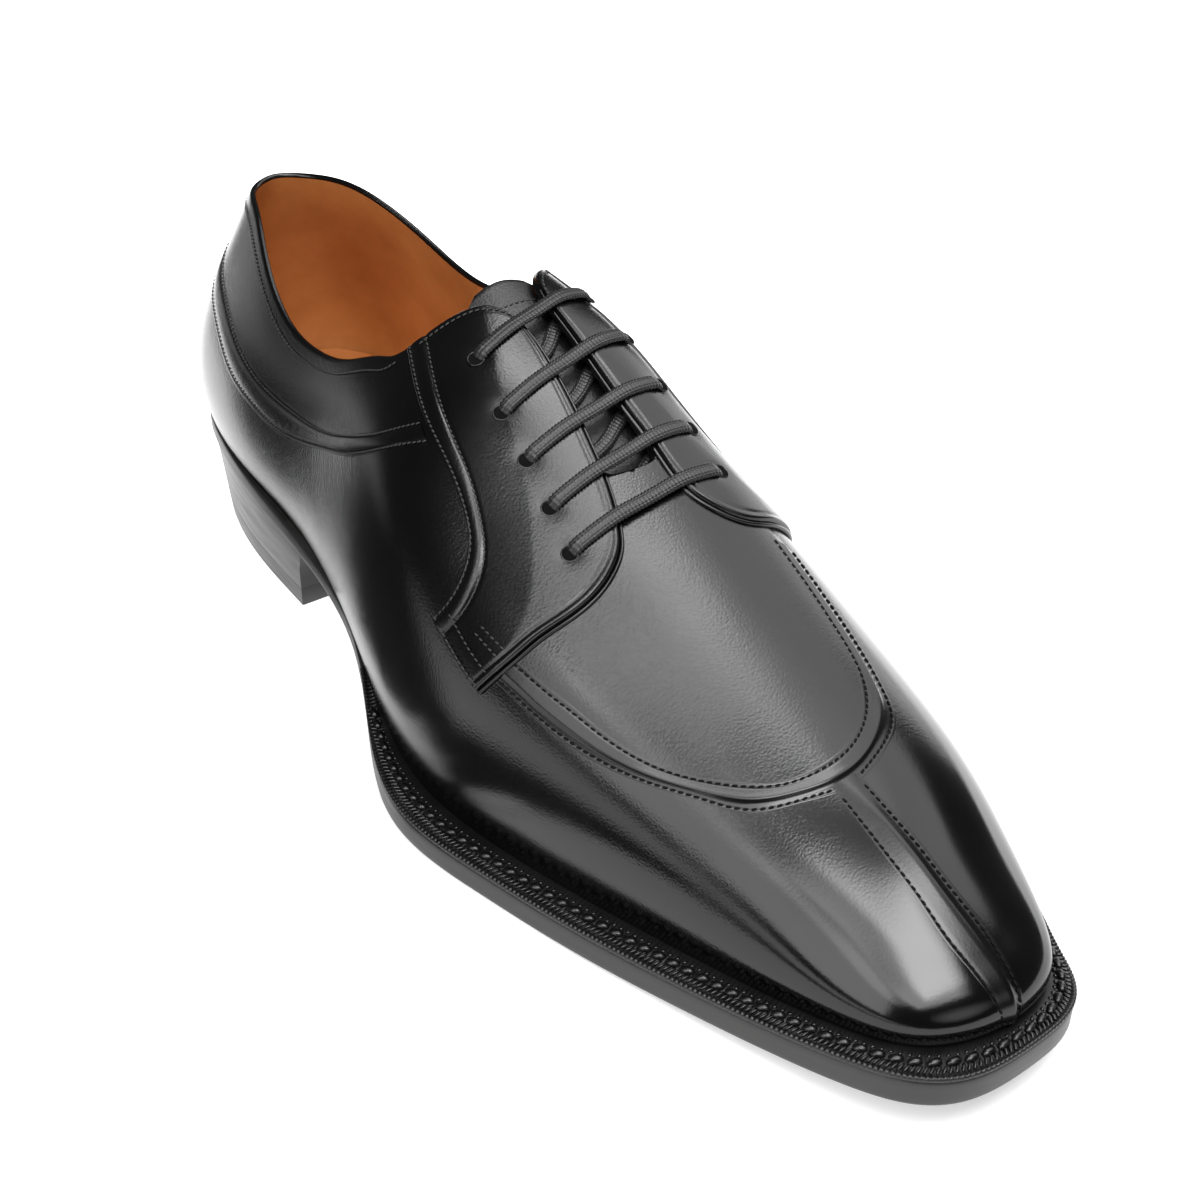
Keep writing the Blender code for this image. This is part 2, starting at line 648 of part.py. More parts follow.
def build():
    clear_scene()
    shoe = collection("dress_shoe")
    cutters = collection("cutters")
    calf = paint("black_calf", (0.012, 0.012, 0.013), 0.25, 0.6)
    seam_calf = paint("black_calf_seam", (0.014, 0.014, 0.015), 0.28, 0.5)
    facing_calf = paint("black_calf_facing", (0.013, 0.013, 0.014), 0.27, 0.5)
    tongue_calf = paint("black_calf_tongue", (0.013, 0.013, 0.014), 0.35, 0.3)
    sole_leather = paint("black_sole_leather", (0.03, 0.03, 0.031), 0.4)
    welt_leather = paint("black_welt_leather", (0.018, 0.018, 0.018), 0.45)
    heel_leather = paint("black_heel_leather", (0.02, 0.02, 0.021), 0.3, 0.3)
    heel_rubber = paint("black_heel_rubber", (0.022, 0.022, 0.022), 0.6)
    lining = paint("tan_lining_leather", (0.45, 0.2, 0.07), 0.45)
    cord = paint("black_waxed_cord", (0.016, 0.016, 0.017), 0.5)
    build_outsole(shoe, sole_leather)
    build_welt(shoe, welt_leather)
    build_heel(shoe, heel_leather, heel_rubber)
    build_insole(shoe, lining)
    build_upper(shoe, calf)
    build_tongue(shoe, tongue_calf)
    build_facing("facing_lateral", FACING_LATERAL, False, EYELETS_LATERAL, shoe, cutters, facing_calf)
    build_facing("facing_medial", FACING_MEDIAL, True, medial(EYELETS_MEDIAL), shoe, cutters, facing_calf)
    build_seams(shoe, seam_calf)
    build_laces(shoe, cord)


build()
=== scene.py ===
"""Looks of a right split-toe derby dress shoe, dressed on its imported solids.

Lengths are in millimetres until a mesh is made. Along the foot, s runs from the back of the
heel to the toe; x is negative on the lateral side; z is the height above the floor. The last
is a ring of ribs counted from the heel back (0) to the toe tip (14), and on along the medial
side to 28. On each rib v runs from the feather line (0) to the ridge of the last (1).
"""

import math

import bmesh
import bpy
import numpy as np
from mathutils import Matrix, Vector
from mathutils.bvhtree import BVHTree


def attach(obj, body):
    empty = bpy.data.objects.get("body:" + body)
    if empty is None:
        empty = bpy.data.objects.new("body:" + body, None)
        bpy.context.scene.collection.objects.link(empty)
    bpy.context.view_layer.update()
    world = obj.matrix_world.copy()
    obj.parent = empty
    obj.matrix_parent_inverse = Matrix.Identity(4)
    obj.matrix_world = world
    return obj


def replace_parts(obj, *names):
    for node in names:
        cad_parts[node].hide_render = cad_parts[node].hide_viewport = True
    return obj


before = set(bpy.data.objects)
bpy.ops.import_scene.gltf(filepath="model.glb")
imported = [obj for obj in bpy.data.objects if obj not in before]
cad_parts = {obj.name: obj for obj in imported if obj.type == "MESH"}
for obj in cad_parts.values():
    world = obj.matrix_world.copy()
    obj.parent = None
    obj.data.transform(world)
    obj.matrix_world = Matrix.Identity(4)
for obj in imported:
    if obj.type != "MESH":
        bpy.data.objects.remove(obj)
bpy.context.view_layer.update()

MM = 0.001
X_SHIFT = 3.39
Y_SHIFT = 152.08
ROW_SIZE = (27.0, 85.0)  # rough length of a row, and of v from 0 to 1
WELD = 0.00002  # in metres, as a made mesh is
UPPER_WELD = 0.0001

WALL = 1.6
TOE_SPRING = 9.0
SPRING_START = 200.0
TREAD_START = 156.0
WAIST_END = 170.0
SOLE_END = 304.0
TOP_PIECE = 6.0
HEEL_LENGTH = 80.0
FACE_REAR = 0.75
FACE_TOP = 1.75
FACING_SIZE = (95.0, 48.0)
TACK_ROWS = (0.094, 0.118)
PLUG_LIFT = 0.3
LACE_WIDTH = 3.1
LACE_THICK = 1.35
LACE_STEP = 0.14
BRAID_STRANDS = 6
BRAID_TURN = 3.3
BRAID_SWELL = 0.16
HOLE_SIDES = 28
HOLE_RADIUS = 1.75
RIM_SIDES = 8
RIM_RADIUS = 1.85
WELT_START = 5.45
WELT_STEP = 0.22
WHEEL_PITCH = 1.15
LIP_SHARE = 0.58
# Stitches: pitch, then length, width and height of a bead, and its lean
STITCH = (1.4, (1.1, 0.46, 0.44), 0.2)
SEAM_STITCH = (1.7, (1.25, 0.6, 0.5), 0.15)
WELT_STITCH = (3.7, (3.2, 2.1, 1.9), 0.3)
WELT_RIDGE = (1.2, (2.2, 0.8, 0.9), 2.2)
WELT_PRICK = (1.85, (1.0, 0.8, 0.8), 1.0)

# Feather line, a row per rib: s, lateral x, medial x, lateral welt width, medial welt width
FEATHER = (
    (1.6, 0, 0, 0.6, 0.6), (6, 19.5, 19.5, 0.3, 1),
    (24, 28.6, 29.4, 0.4, 1.7), (50, 32, 30.6, 1.2, 1.6),
    (80, 33, 28, 1.5, 1.4), (110, 37.5, 26, 0, 1),
    (138, 45, 27.5, 3.4, 2.6), (165, 49.4, 33, 7.8, 5.6),
    (192, 46, 39.5, 7.7, 7), (218, 39.4, 43.2, 7.8, 7.3),
    (244, 32.2, 40.5, 7.4, 7.2), (267, 25.6, 33.2, 7, 5.4),
    (285, 19, 24.8, 7.2, 4), (294.2, 10.2, 15.8, 8.3, 6.2),
    (297.2, -2.6, 2.6, 6.2, 6.2),
)
# Cone top and ridge, a row per rib: s, x, half width, z, slope along the foot, slope across
CONE = (
    (17, 0, 0, 116, 0, 0), (22, 0, 4, 117, 0, 0),
    (36, 0, 8, 118, 0, 0), (58, 0, 10, 119, 0, 0),
    (84, 0.5, 7, 118, 0, 0), (110, 2, 0, 107.6, -0.2, 0.05),
    (134, 2.6, 0, 97.3, -0.43, 0.06), (157, 2, 0, 86.8, -0.48, 0.06),
    (182, 1, 0, 74.4, -0.48, 0.06), (206, 0.4, 0, 64, -0.44, 0.06),
    (228, 0.4, 0, 54.7, -0.44, 0.06), (246, 0.6, 0, 47, -0.42, 0.04),
    (257, 1.3, 0, 42.8, -0.35, 0), (262.5, 1.7, 0, 41, -0.32, 0),
    (265, 1.9, 0, 40.2, -0.31, 0),
)
# Fullness, a row per rib: lateral out, rise, shoulder; medial out, rise, shoulder; drop at the cone
FULLNESS = (
    (9, 30, 1, 9, 30, 1, 30), (9, 30, 2, 9, 30, 2, 32),
    (8, 30, 5, 8, 31, 5, 34), (8, 30, 9, 8, 32, 9, 34),
    (11, 32, 11, 9, 38, 14, 29), (13, 47, 24, 9, 55, 26, 9),
    (11, 62, 30, 7.5, 69, 29, 0), (7, 54, 32.5, 7, 60.5, 29, 0),
    (4.5, 43, 33, 6.2, 49, 29, 0), (3.2, 31, 30.5, 5, 35, 28.5, 0),
    (3, 20, 25, 5.2, 24.5, 27, 0), (3, 12, 19, 4.6, 17, 23, 0),
    (3, 9, 16, 3.5, 12, 20, 0), (3, 8.5, 17, 3, 9, 18, 0),
    (3, 8.5, 18, 3, 8.5, 18, 0),
)
# Side profile of the sole: s, z of the feather line; s, z of the underside; s, depth of the outsole's top
FEATHER_Z = (
    (-6, 29.2), (0, 29), (40, 27.3), (80, 24), (105, 18.6), (130, 12.7), (155, 9.7), (180, 9.2), (205, 9.2),
    (235, 10.2), (265, 12.6), (297, 17.2), (308, 18.9))
WAIST_Z = (
    (-6, 23.9), (20, 23), (40, 22), (60, 20.5), (80, 18.7), (100, 14.6), (120, 8.4), (140, 2.3), (152, 0.2),
    (160, -0.6), (180, -1))
SEAT_DEPTH = ((-6, 0.3), (100, 0.3), (112, 0.5), (120, 1.3), (130, 2.2), (140, 2.6), (150, 2.7), (308, 2.7))

# Rise of the forepart and fall of the toe's end over the CAD last, by s
TOE_FORM = (
    (-6, 0), (150, 0), (205, 0), (225, 0.4), (244, 1.15), (256, 1.25), (270, 0), (282, -1.25), (291, -1.3),
    (300, -0.6), (308, 0))
FORM_START = 0.12  # v where that form begins, and the v over which it grows
FORM_RAMP = 0.4

# Top edge of the upper: row, lateral v, medial v
TOP_EDGE = (
    (0, 0.7, 0.7), (1, 0.7, 0.7), (2, 0.7, 0.7), (2.92, 0.613, 0.62), (3.52, 0.546, 0.56),
    (4.06, 0.537, 0.55), (4.5, 0.562, 0.58), (4.96, 0.619, 0.69), (5.28, 0.71, 0.84), (5.45, 0.845, 0.89),
    (5.58, 0.91, 0.906), (5.76, 0.94, 0.918), (6.1, 0.95, 0.928), (6.6, 0.952, 0.925), (7.1, 0.938, 0.91),
    (7.42, 0.932, 0.908), (7.52, 0.952, 0.935), (7.56, 0.98, 0.972), (7.58, 1, 1))
THROAT_END = 7.58

# Facings in (row, v): rear seam bottom to top, front and throat edge bottom to top, top edge rear to front
FACING_LATERAL = {
    "rear": ((6.98, 0.352), (7.08, 0.42), (7.1, 0.478), (7.02, 0.545), (6.8, 0.582), (6.42, 0.602),
             (6, 0.612), (5.58, 0.642), (5.24, 0.68)),
    "front": ((7.64, 0.319), (7.88, 0.475), (7.96, 0.544), (8.08, 0.644), (8.14, 0.731), (8.12, 0.806),
              (8.02, 0.863), (7.92, 0.884), (7.76, 0.904), (7.5, 0.925), (7.34, 0.932), (6.92, 0.948),
              (6.56, 0.957), (6.32, 0.96), (5.94, 0.954), (5.76, 0.942)),
    "top": ((5.24, 0.68), (5.3, 0.722), (5.43, 0.838), (5.57, 0.911), (5.76, 0.942)),
}
FACING_MEDIAL = {
    "rear": ((6.98, 0.36), (7.08, 0.43), (7.1, 0.49), (7.02, 0.56), (6.8, 0.603), (6.42, 0.632),
             (6, 0.655), (5.58, 0.692), (5.27, 0.72), (5.08, 0.735)),
    "front": ((7.64, 0.34), (7.86, 0.455), (7.96, 0.55), (8.06, 0.66), (8.11, 0.74), (8.08, 0.8),
              (7.99, 0.845), (7.88, 0.876), (7.74, 0.893), (7.4, 0.902), (6.96, 0.919), (6.46, 0.931),
              (6.1, 0.932), (5.8, 0.927), (5.6, 0.914)),
    "top": ((5.08, 0.735), (5.13, 0.765), (5.25, 0.832), (5.39, 0.884), (5.6, 0.914)),
}
EYELETS_LATERAL = ((5.96, 0.812), (6.52, 0.794), (6.98, 0.786), (7.4, 0.773), (7.77, 0.752))
EYELETS_MEDIAL = ((5.64, 0.752), (6.17, 0.741), (6.7, 0.742), (7.16, 0.739), (7.61, 0.741))

# Stitch rows of the raised seams in (row, v), lateral part and medial part
APRON_INNER = (((7.72, 0.436), (7.98, 0.448), (8.2, 0.456), (8.46, 0.469), (8.76, 0.481), (9.24, 0.519),
                (9.66, 0.588), (10, 0.663), (10.36, 0.763), (10.72, 0.906)),
               ((10.76, 0.95), (10.38, 0.844), (10.12, 0.788), (9.85, 0.745), (9.2, 0.7),
                (8.7, 0.685), (8.24, 0.682)))
APRON_OUTER = (((7.66, 0.374), (7.9, 0.381), (8.1, 0.383), (8.46, 0.394), (8.84, 0.419), (9.3, 0.475),
                (9.72, 0.544), (10.16, 0.625), (10.6, 0.769), (10.96, 0.888)),
               ((11.12, 0.96), (10.52, 0.794), (10.18, 0.713), (9.9, 0.684), (9.2, 0.642),
                (8.7, 0.625), (8.3, 0.618)))
TOE_LEFT = (
    (11.2, 0.89), (11.5, 0.875), (12.24, 0.831), (13.02, 0.756), (13.42, 0.606), (13.64, 0.469),
    (13.8, 0.194), (13.86, 0.02))
TOE_RIGHT = (
    (11.36, 0.975), (11.96, 0.956), (12.98, 0.906), (13.54, 0.781), (13.62, 0.619), (13.7, 0.475),
    (13.8, 0.23), (13.84, 0.02))
COLLAR_UPPER = (
    (5.96, 0.6), (5.54, 0.5), (5.08, 0.438), (4.46, 0.388), (3.88, 0.369), (3.34, 0.363), (2.82, 0.388),
    (2.1, 0.45), (1.54, 0.481), (1, 0.512), (0, 0.53))
COLLAR_LOWER = (
    (6.14, 0.59), (5.88, 0.525), (5.16, 0.406), (4.56, 0.356), (3.76, 0.294), (3.18, 0.288), (2.7, 0.306),
    (2.26, 0.35), (1.6, 0.4), (1, 0.432), (0, 0.45))
# Soft creases in (row, v): start, stop, half width, depth
CREASES = (((6.75, 0.06), (7.35, 0.2), 2.6, 0.28), ((7.05, 0.05), (7.75, 0.17), 2.2, 0.24),
           ((7.55, 0.05), (8.35, 0.15), 2.4, 0.22), ((6.3, 0.1), (6.75, 0.26), 3.2, 0.2))
# Tongue: row, lateral v, medial v
TONGUE = (
    (5.3, 0.905, 0.89), (5.38, 0.86, 0.84), (5.56, 0.815, 0.785), (6.2, 0.78, 0.745), (7, 0.755, 0.72),
    (7.6, 0.765, 0.735), (8, 0.82, 0.795), (8.22, 0.88, 0.86))
# Outsole edge from below: inset from the outline, share of the thickness
OUTSOLE_EDGE = (
    (0.9, 0), (0.45, 0.02), (0.2, 0.07), (0.1, 0.16), (0.1, 0.4), (0.1, 0.7), (0.15, 0.86), (0.3, 0.95),
    (0.6, 1))
# Heel from below: inset from the outline, s of the breast, forward pitch of its back
HEEL_EDGE = {"floor": (1.9, 75.8, 6.5), "joint": (1.6, 76.4, 5.2), "middle": (1.2, 77, 3),
             "seat": (0.7, 79.2, 0.6)}
# Raised seams: share of the way between the stitch rows, height; then the heights the toe seam starts from
APRON_PROFILE = (
    (-0.4, 0), (-0.2, 0.31), (-0.07, 0.35), (0, 0.22), (0.05, 0.34), (0.16, 0.36), (0.3, 0.39),
    (0.42, 0.43), (0.5, 0.46), (0.56, 0.45), (0.62, 0.36), (0.69, 0.2), (0.76, 0.1), (0.86, 0.05),
    (0.95, 0.03), (1, -0.04), (1.05, 0.05), (1.16, 0), (1.3, -0.25))
TOE_PROFILE = (
    (-0.22, -0.25), (-0.1, 0), (-0.03, 0.05), (0, -0.02), (0.06, 0.08), (0.18, 0.16), (0.34, 0.3),
    (0.48, 0.46), (0.58, 0.58), (0.65, 0.58), (0.72, 0.44), (0.8, 0.2), (0.9, 0.06), (1, -0.04),
    (1.05, 0.06), (1.14, 0), (1.26, -0.25))
COLLAR_PROFILE = (
    (-0.3, -0.25), (-0.16, 0.02), (-0.05, 0.07), (0, -0.02), (0.06, 0.14), (0.16, 0.3), (0.32, 0.42),
    (0.5, 0.46), (0.68, 0.42), (0.84, 0.3), (0.94, 0.12), (1, -0.02), (1.06, 0.07), (1.16, 0.02),
    (1.3, -0.25))
TOE_START = (-0.25, 0, 0.05, 0.12, 0.3, 0.4, 0.43, 0.44, 0.44, 0.44, 0.43, 0.4, 0.3, 0.12, 0.05, 0, -0.25)
TOE_START_LENGTH = 12.0
# Rolled top of the tongue: depth, reach past the edge
TONGUE_ROLL = ((1.5, 0.0), (1.0, 0.3), (0.5, 0.35), (0.15, 0.2))
# Distances from a facing's edge where its points lie close together
MARGIN = np.array((0.0, 0.05, 0.15, 0.3, 0.5, 0.75, 1.05, 1.5, 2.1))

# Floor sheets in metres: along the view, aside
FLOOR_SHEETS = (((-0.9, -0.033), (-0.9, 1.2), (1.6, 1.2), (1.6, -0.3), (0.3, -0.26), (0.2, -0.235),
                 (0.15, -0.212), (0.12, -0.165), (0.09, -0.125), (0.06, -0.095), (0.03, -0.07), (0.0, -0.06),
                 (-0.03, -0.062), (-0.045, -0.04)),
                ((-0.05, -0.095), (-0.045, -0.9), (-0.9, -0.9), (-0.9, -0.095)))
# Softbox edges: rings of (scale, share of the radiance)
PLAIN = ((1.0, 1.0),)
SOFT = ((1.3, 0.25), (1.05, 0.25), (0.8, 0.25), (0.55, 0.25))
EDGED = ((1.1, 0.34), (0.98, 0.33), (0.86, 0.33))
RING_RISE = 0.0007
# Softboxes: name, place, aim or straight down, size, radiance, edge; the soft ones are round
SOFTBOXES = (
    ("front_panel", (-0.36, -0.54, 0.85), None, (0.94, 0.38), 5.0, EDGED),
    ("front_key", (-0.14, -0.455, 0.845), None, (0.62, 0.25), 7.5, EDGED),
    ("front_left", (-1.0, -0.42, 0.84), None, (0.5, 0.3), 2.0, EDGED),
    ("dim_panel", (-0.15, -0.2, 0.855), None, (1.7, 0.32), 0.8, PLAIN),
    ("zenith_strip", (-0.38, -0.1, 0.838), None, (1.3, 0.1), 9.2, PLAIN),
    ("zenith_end", (0.28, 0.03, 0.835), None, (0.27, 0.12), 12.5, SOFT),
    ("zenith_back", (0.12, 0.14, 0.83), None, (0.15, 0.24), 12.0, SOFT),
    ("left_strip", (-0.78, -0.14, 0.37), (0.0, -0.08, 0.03), (0.4, 0.56), 3.2, PLAIN),
    ("right_strip", (0.9, 0.25, 0.3), (0.0, 0.0, 0.05), (0.35, 0.5), 2.2, PLAIN),
    ("right_panel", (0.8, 0.05, 0.86), None, (1.1, 1.0), 1.9, PLAIN),
    ("front_low", (-0.16, -1.2, 0.6), (0.0, -0.12, 0.03), (1.0, 0.5), 1.2, SOFT),
    ("back_reflector", (-0.2, 0.56, 0.002), (-0.2, 0.56, 1.0), (0.3, 0.36), 0.9, PLAIN),
)
WORLD_LEVEL = 0.06
WORLD_SEEN = 0.97
CAMERA_LENS = 61.376
CAMERA_TURN = (-36.384, 35.283, 1.446)  # azimuth, elevation, roll in degrees
CAMERA_TARGET = (3.767, -10.398, 40.0)
CAMERA_AWAY = 472.934

ROWS = len(FEATHER) - 1
PERIOD = 2 * ROWS


def spline(knots, values, at):
    """Smooth cubic through the knots with free ends."""
    t = np.asarray(knots, float)
    y = np.asarray(values, float)
    n = len(t)
    flat = y.reshape(n, -1)
    step = np.diff(t)
    rate = np.diff(flat, axis=0) / step[:, None]
    matrix = np.zeros((n, n))
    right = np.zeros_like(flat)
    matrix[0, :2] = (2.0, 1.0)
    matrix[-1, -2:] = (1.0, 2.0)
    right[0] = 3.0 * rate[0]
    right[-1] = 3.0 * rate[-1]
    for i in range(1, n - 1):
        matrix[i, i - 1:i + 2] = (1 / step[i - 1], 2 / step[i - 1] + 2 / step[i], 1 / step[i])
        right[i] = 3.0 * (rate[i - 1] / step[i - 1] + rate[i] / step[i])
    slope = np.linalg.solve(matrix, right)
    at = np.asarray(at, float)
    q = at.ravel()
    i = np.clip(np.searchsorted(t, q, side="right") - 1, 0, n - 2)
    h = step[i][:, None]
    w = ((q - t[i]) / step[i])[:, None]
    start = (1 + 2 * w) * (1 - w) ** 2 * flat[i] + w * (1 - w) ** 2 * h * slope[i]
    end = w * w * (3 - 2 * w) * flat[i + 1] - w * w * (1 - w) * h * slope[i + 1]
    return (start + end).reshape(at.shape + y.shape[1:])


def table(rows, at):
    knots, values = np.array(rows, float).T
    return spline(knots, values, at)


def clamp(x):
    return np.clip(x, 0.0, 1.0)


def circle(count):
    return np.linspace(0, 2 * math.pi, count, endpoint=False)


def unit(v):
    return v / np.linalg.norm(v, axis=-1, keepdims=True)


def run(points):
    """Length along a line at each of its points."""
    return np.r_[0.0, np.cumsum(np.linalg.norm(np.diff(points, axis=0), axis=1))]


def path(points, count):
    """Evenly spaced points on a smooth curve through (row, v) control points."""
    points = np.array(points, float)
    span = np.diff(points, axis=0) * ROW_SIZE
    length = np.r_[0.0, np.cumsum(np.hypot(span[:, 0], span[:, 1]))]
    return spline(length, points, np.linspace(0, length[-1], count))


def ring(lateral, medial):
    return np.concatenate([lateral, medial[-2:0:-1]])


def rib_columns():
    """All rib columns round the shoe, repeated a little so that the spline closes."""
    f = np.array(FEATHER)
    c = np.array(CONE)
    h = np.array(FULLNESS)
    sides = [(f[:, 0], f[:, 0]), (-f[:, 1], f[:, 2]), (f[:, 3], f[:, 4]), (c[:, 0], c[:, 0]),
             (c[:, 1] - c[:, 2], c[:, 1] + c[:, 2])]
    sides += [(c[:, k], c[:, k]) for k in (3, 4, 5)]
    sides += [(h[:, k], h[:, k + 3]) for k in (0, 1, 2)] + [(h[:, 6], h[:, 6])]
    knots = np.arange(-6, PERIOD + 7)
    return knots, np.stack([ring(*pair) for pair in sides], axis=1)[knots % PERIOD]


KNOTS, COLUMNS = rib_columns()


def rib(q):
    return np.moveaxis(spline(KNOTS, COLUMNS, np.mod(q, PERIOD)), -1, 0)


def feather_z(s):
    return table(FEATHER_Z, s)


def sole_bottom(s):
    spring = TOE_SPRING * np.clip((s - SPRING_START) / (SOLE_END - SPRING_START), 0.0, None) ** 2
    waist = np.maximum(table(WAIST_Z, np.minimum(s, WAIST_END)), 0.0)
    return np.where(s < TREAD_START, waist, 0.0) + spring


def outsole_top(s):
    return feather_z(s) - table(SEAT_DEPTH, s)


def place(x, s, z):
    return np.stack([x + X_SHIFT, Y_SHIFT - s, z], axis=-1)


def outline(q, inset):
    """Plan outline of the sole in x and s, moved in by an inset."""
    s, x, welt = rib(q)[:3]
    ahead = rib(np.asarray(q) + 0.02)
    behind = rib(np.asarray(q) - 0.02)
    tx = ahead[1] - behind[1]
    ts = ahead[0] - behind[0]
    size = np.hypot(tx, ts)
    out = welt - inset
    return x - ts / size * out, s + tx / size * out


def last(q, v):
    """Point of the last's surface at row q and height share v."""
    q, v = np.broadcast_arrays(np.asarray(q, float), np.asarray(v, float))
    s, x, _, cone_s, cone_x, cone_z, slope, tilt, out, rise, shoulder, drop = rib(q)
    dx = x - cone_x
    ds = s - cone_s
    size = np.hypot(dx, ds)
    dx = dx / size
    ds = ds / size
    z = feather_z(s)
    lean = (slope * ds + tilt * dx) * shoulder
    p0 = place(x, s, z)
    p1 = place(x + dx * out, s + ds * out, z + rise)
    p2 = place(cone_x + dx * shoulder, cone_s + ds * shoulder, cone_z + lean - drop)
    p3 = place(cone_x, cone_s, cone_z)
    w = v[..., None]
    p = (1 - w) ** 3 * p0 + 3 * w * (1 - w) ** 2 * p1 + 3 * w * w * (1 - w) * p2 + w ** 3 * p3
    ease = clamp((v - FORM_START) / FORM_RAMP)
    p[..., 2] += table(TOE_FORM, Y_SHIFT - p[..., 1]) * ease * ease * (3.0 - 2.0 * ease)
    return p


def side_normal(q, v):
    along = last(q + 0.01, v) - last(q - 0.01, v)
    up = last(q, v + 0.005) - last(q, v - 0.005)
    return unit(np.cross(along, up))


def normal(q, v):
    """Outward normal; near the ridge the mean of both sides."""
    q, v = np.broadcast_arrays(np.asarray(q, float), np.asarray(v, float))
    low = np.minimum(v, 0.985)
    share = clamp((v - 0.9) / 0.1)[..., None] * 0.5
    return unit((1 - share) * side_normal(q, low) + share * side_normal(PERIOD - q, low))


def skin(q, v, offset):
    return last(q, v) + normal(q, v) * np.asarray(offset)[..., None]


def medial(points):
    return [(PERIOD - q, v) for q, v in points]


def whole(seam):
    """Lateral and medial part of a seam as one line."""
    return list(seam[0]) + medial(seam[1])


def resample(points, normals, count):
    """Points and normals at even steps along a line."""
    length = run(points)
    at = np.linspace(0, length[-1], count)
    p, n = (np.stack([np.interp(at, length, a[:, k]) for k in range(3)], axis=1) for a in (points, normals))
    return p, unit(n)


def trace(points, step, lead=0.0):
    """Smooth line on the upper through (row, v) control points at even steps, led in by a length."""
    q, v = np.array(points, float).T
    p = last(q, v)
    n = normal(q, v)
    if lead:
        p = np.concatenate([[p[0] + unit(p[0] - p[1]) * lead], p])
        n = np.concatenate([n[:1], n])
    length = run(p)
    at = np.linspace(0, length[-1], max(int(length[-1] / step), 2))
    return spline(length, p, at), unit(spline(length, n, at))


def link(name, data):
    item = bpy.data.objects.new(name, data)
    bpy.context.scene.collection.objects.link(item)
    return item


def add_mesh(name, points, faces, material, smooth=True):
    """A piece from points in millimetres that rides on the shoe."""
    mesh = bpy.data.meshes.new(name)
    mesh.from_pydata((np.asarray(points) * MM).tolist(), [], faces)
    mesh.validate()
    if smooth:
        mesh.shade_smooth()
    mesh.materials.append(material)
    item = link(name, mesh)
    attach(item, "root")
    return item


def weld(item, distance=WELD):
    """Joins vertices that lie together."""
    shape = bmesh.new()
    shape.from_mesh(item.data)
    bmesh.ops.remove_doubles(shape, verts=shape.verts, dist=distance)
    bmesh.ops.recalc_face_normals(shape, faces=shape.faces)
    shape.to_mesh(item.data)
    shape.free()
    item.data.shade_smooth()


def grid_faces(rows, cols, start=0, around=False):
    """Quads of a grid of points, closed across the columns if it goes around."""
    i = np.arange(rows - 1)[:, None]
    j = np.arange(cols if around else cols - 1)[None, :]
    k = (j + 1) % cols
    a = start + i * cols + j
    b = start + i * cols + k
    return np.stack([a, b, b + cols, a + cols], axis=-1).reshape(-1, 4).tolist()


def sheet(name, grid, material, around=False):
    faces = grid_faces(*grid.shape[:2], 0, around)
    return add_mesh(name, grid.reshape(-1, 3), faces, material)


def band(name, a, b, profile, material, count=420, start=None):
    """Raised strip between two lines: profile gives its section, start the heights it eases in from."""
    pa, na = resample(*a, count)
    pb, nb = resample(*b, count)
    n = unit(na + nb)
    blend = clamp(run(pa) / TOE_START_LENGTH)[:, None]
    grid = []
    for k, (w, h) in enumerate(profile):
        height = blend * h + (1.0 - blend) * start[k] if start else h
        grid.append(on_upper(pa + (pb - pa) * w) + n * height)
    return sheet(name, np.stack(grid, axis=1), material)


def beads(name, rows, pitch, size, tilt, material, slot):
    """Stitches: small rounded beads at even steps along lines. size is length, width, height."""
    rings = 4
    sides = 6
    polar = np.linspace(0.15 * math.pi, 0.85 * math.pi, rings)
    bead = [(1.0, 0.0, 0.0)]
    for along, wide in zip(np.cos(polar), np.sin(polar) ** 0.6):
        bead += [(along, wide * math.cos(t), wide * math.sin(t)) for t in circle(sides)]
    bead.append((-1.0, 0.0, 0.0))
    bead = np.array(bead) * np.array(size) / 2.0
    bead_faces = []
    for j in range(sides):
        k = (j + 1) % sides
        bead_faces.append([0, 1 + j, 1 + k])
        for low in range(1, 1 + (rings - 1) * sides, sides):
            bead_faces.append([low + j, low + sides + j, low + sides + k, low + k])
        low = 1 + (rings - 1) * sides
        bead_faces.append([low + j, low + sides, low + k])
    points = []
    faces = []
    for (p, n), lift in rows:
        length = np.linalg.norm(np.diff(p, axis=0), axis=1).sum()
        count = max(int(length / pitch), 2)
        p, n = resample(p, n, 2 * count + 1)
        t = unit(np.gradient(p, axis=0))
        t = unit(t + tilt * unit(np.cross(n, t)))
        side = unit(np.cross(n, t))
        up = np.cross(t, side)
        for k in range(1, 2 * count, 2):
            start = len(points) * len(bead)
            points.append(p[k] + n[k] * lift + bead @ np.stack([t[k], side[k], up[k]]))
            faces += [[start + c for c in face] for face in bead_faces]
    add_mesh(name, np.concatenate(points), faces, material)


def tube(points, normals, section, twist_side=None):
    """Rings of a section of (side, height) pairs carried along a line."""
    t = unit(np.gradient(points, axis=0))
    side = np.cross(normals, t) if twist_side is None else np.broadcast_to(twist_side, t.shape)
    side = unit(side - (side * t).sum(1)[:, None] * t)
    up = np.cross(t, side)
    return points[:, None] + side[:, None] * section[..., :1] + up[:, None] * section[..., 1:]


# Materials

def fill(made, *values, **inputs):
    """Sets a node's inputs in order, or by name with _ for a space; another node's output is linked."""
    named = {key.replace("_", " "): value for key, value in inputs.items()}
    for key, value in [*enumerate(values), *named.items()]:
        if isinstance(value, bpy.types.NodeSocket):
            made.id_data.links.new(value, made.inputs[key])
        else:
            made.inputs[key].default_value = value
    return made


def node(tree, kind, *values, operation=None, **inputs):
    made = tree.nodes.new("ShaderNode" + kind)
    if operation:
        made.operation = operation
    return fill(made, *values, **inputs)


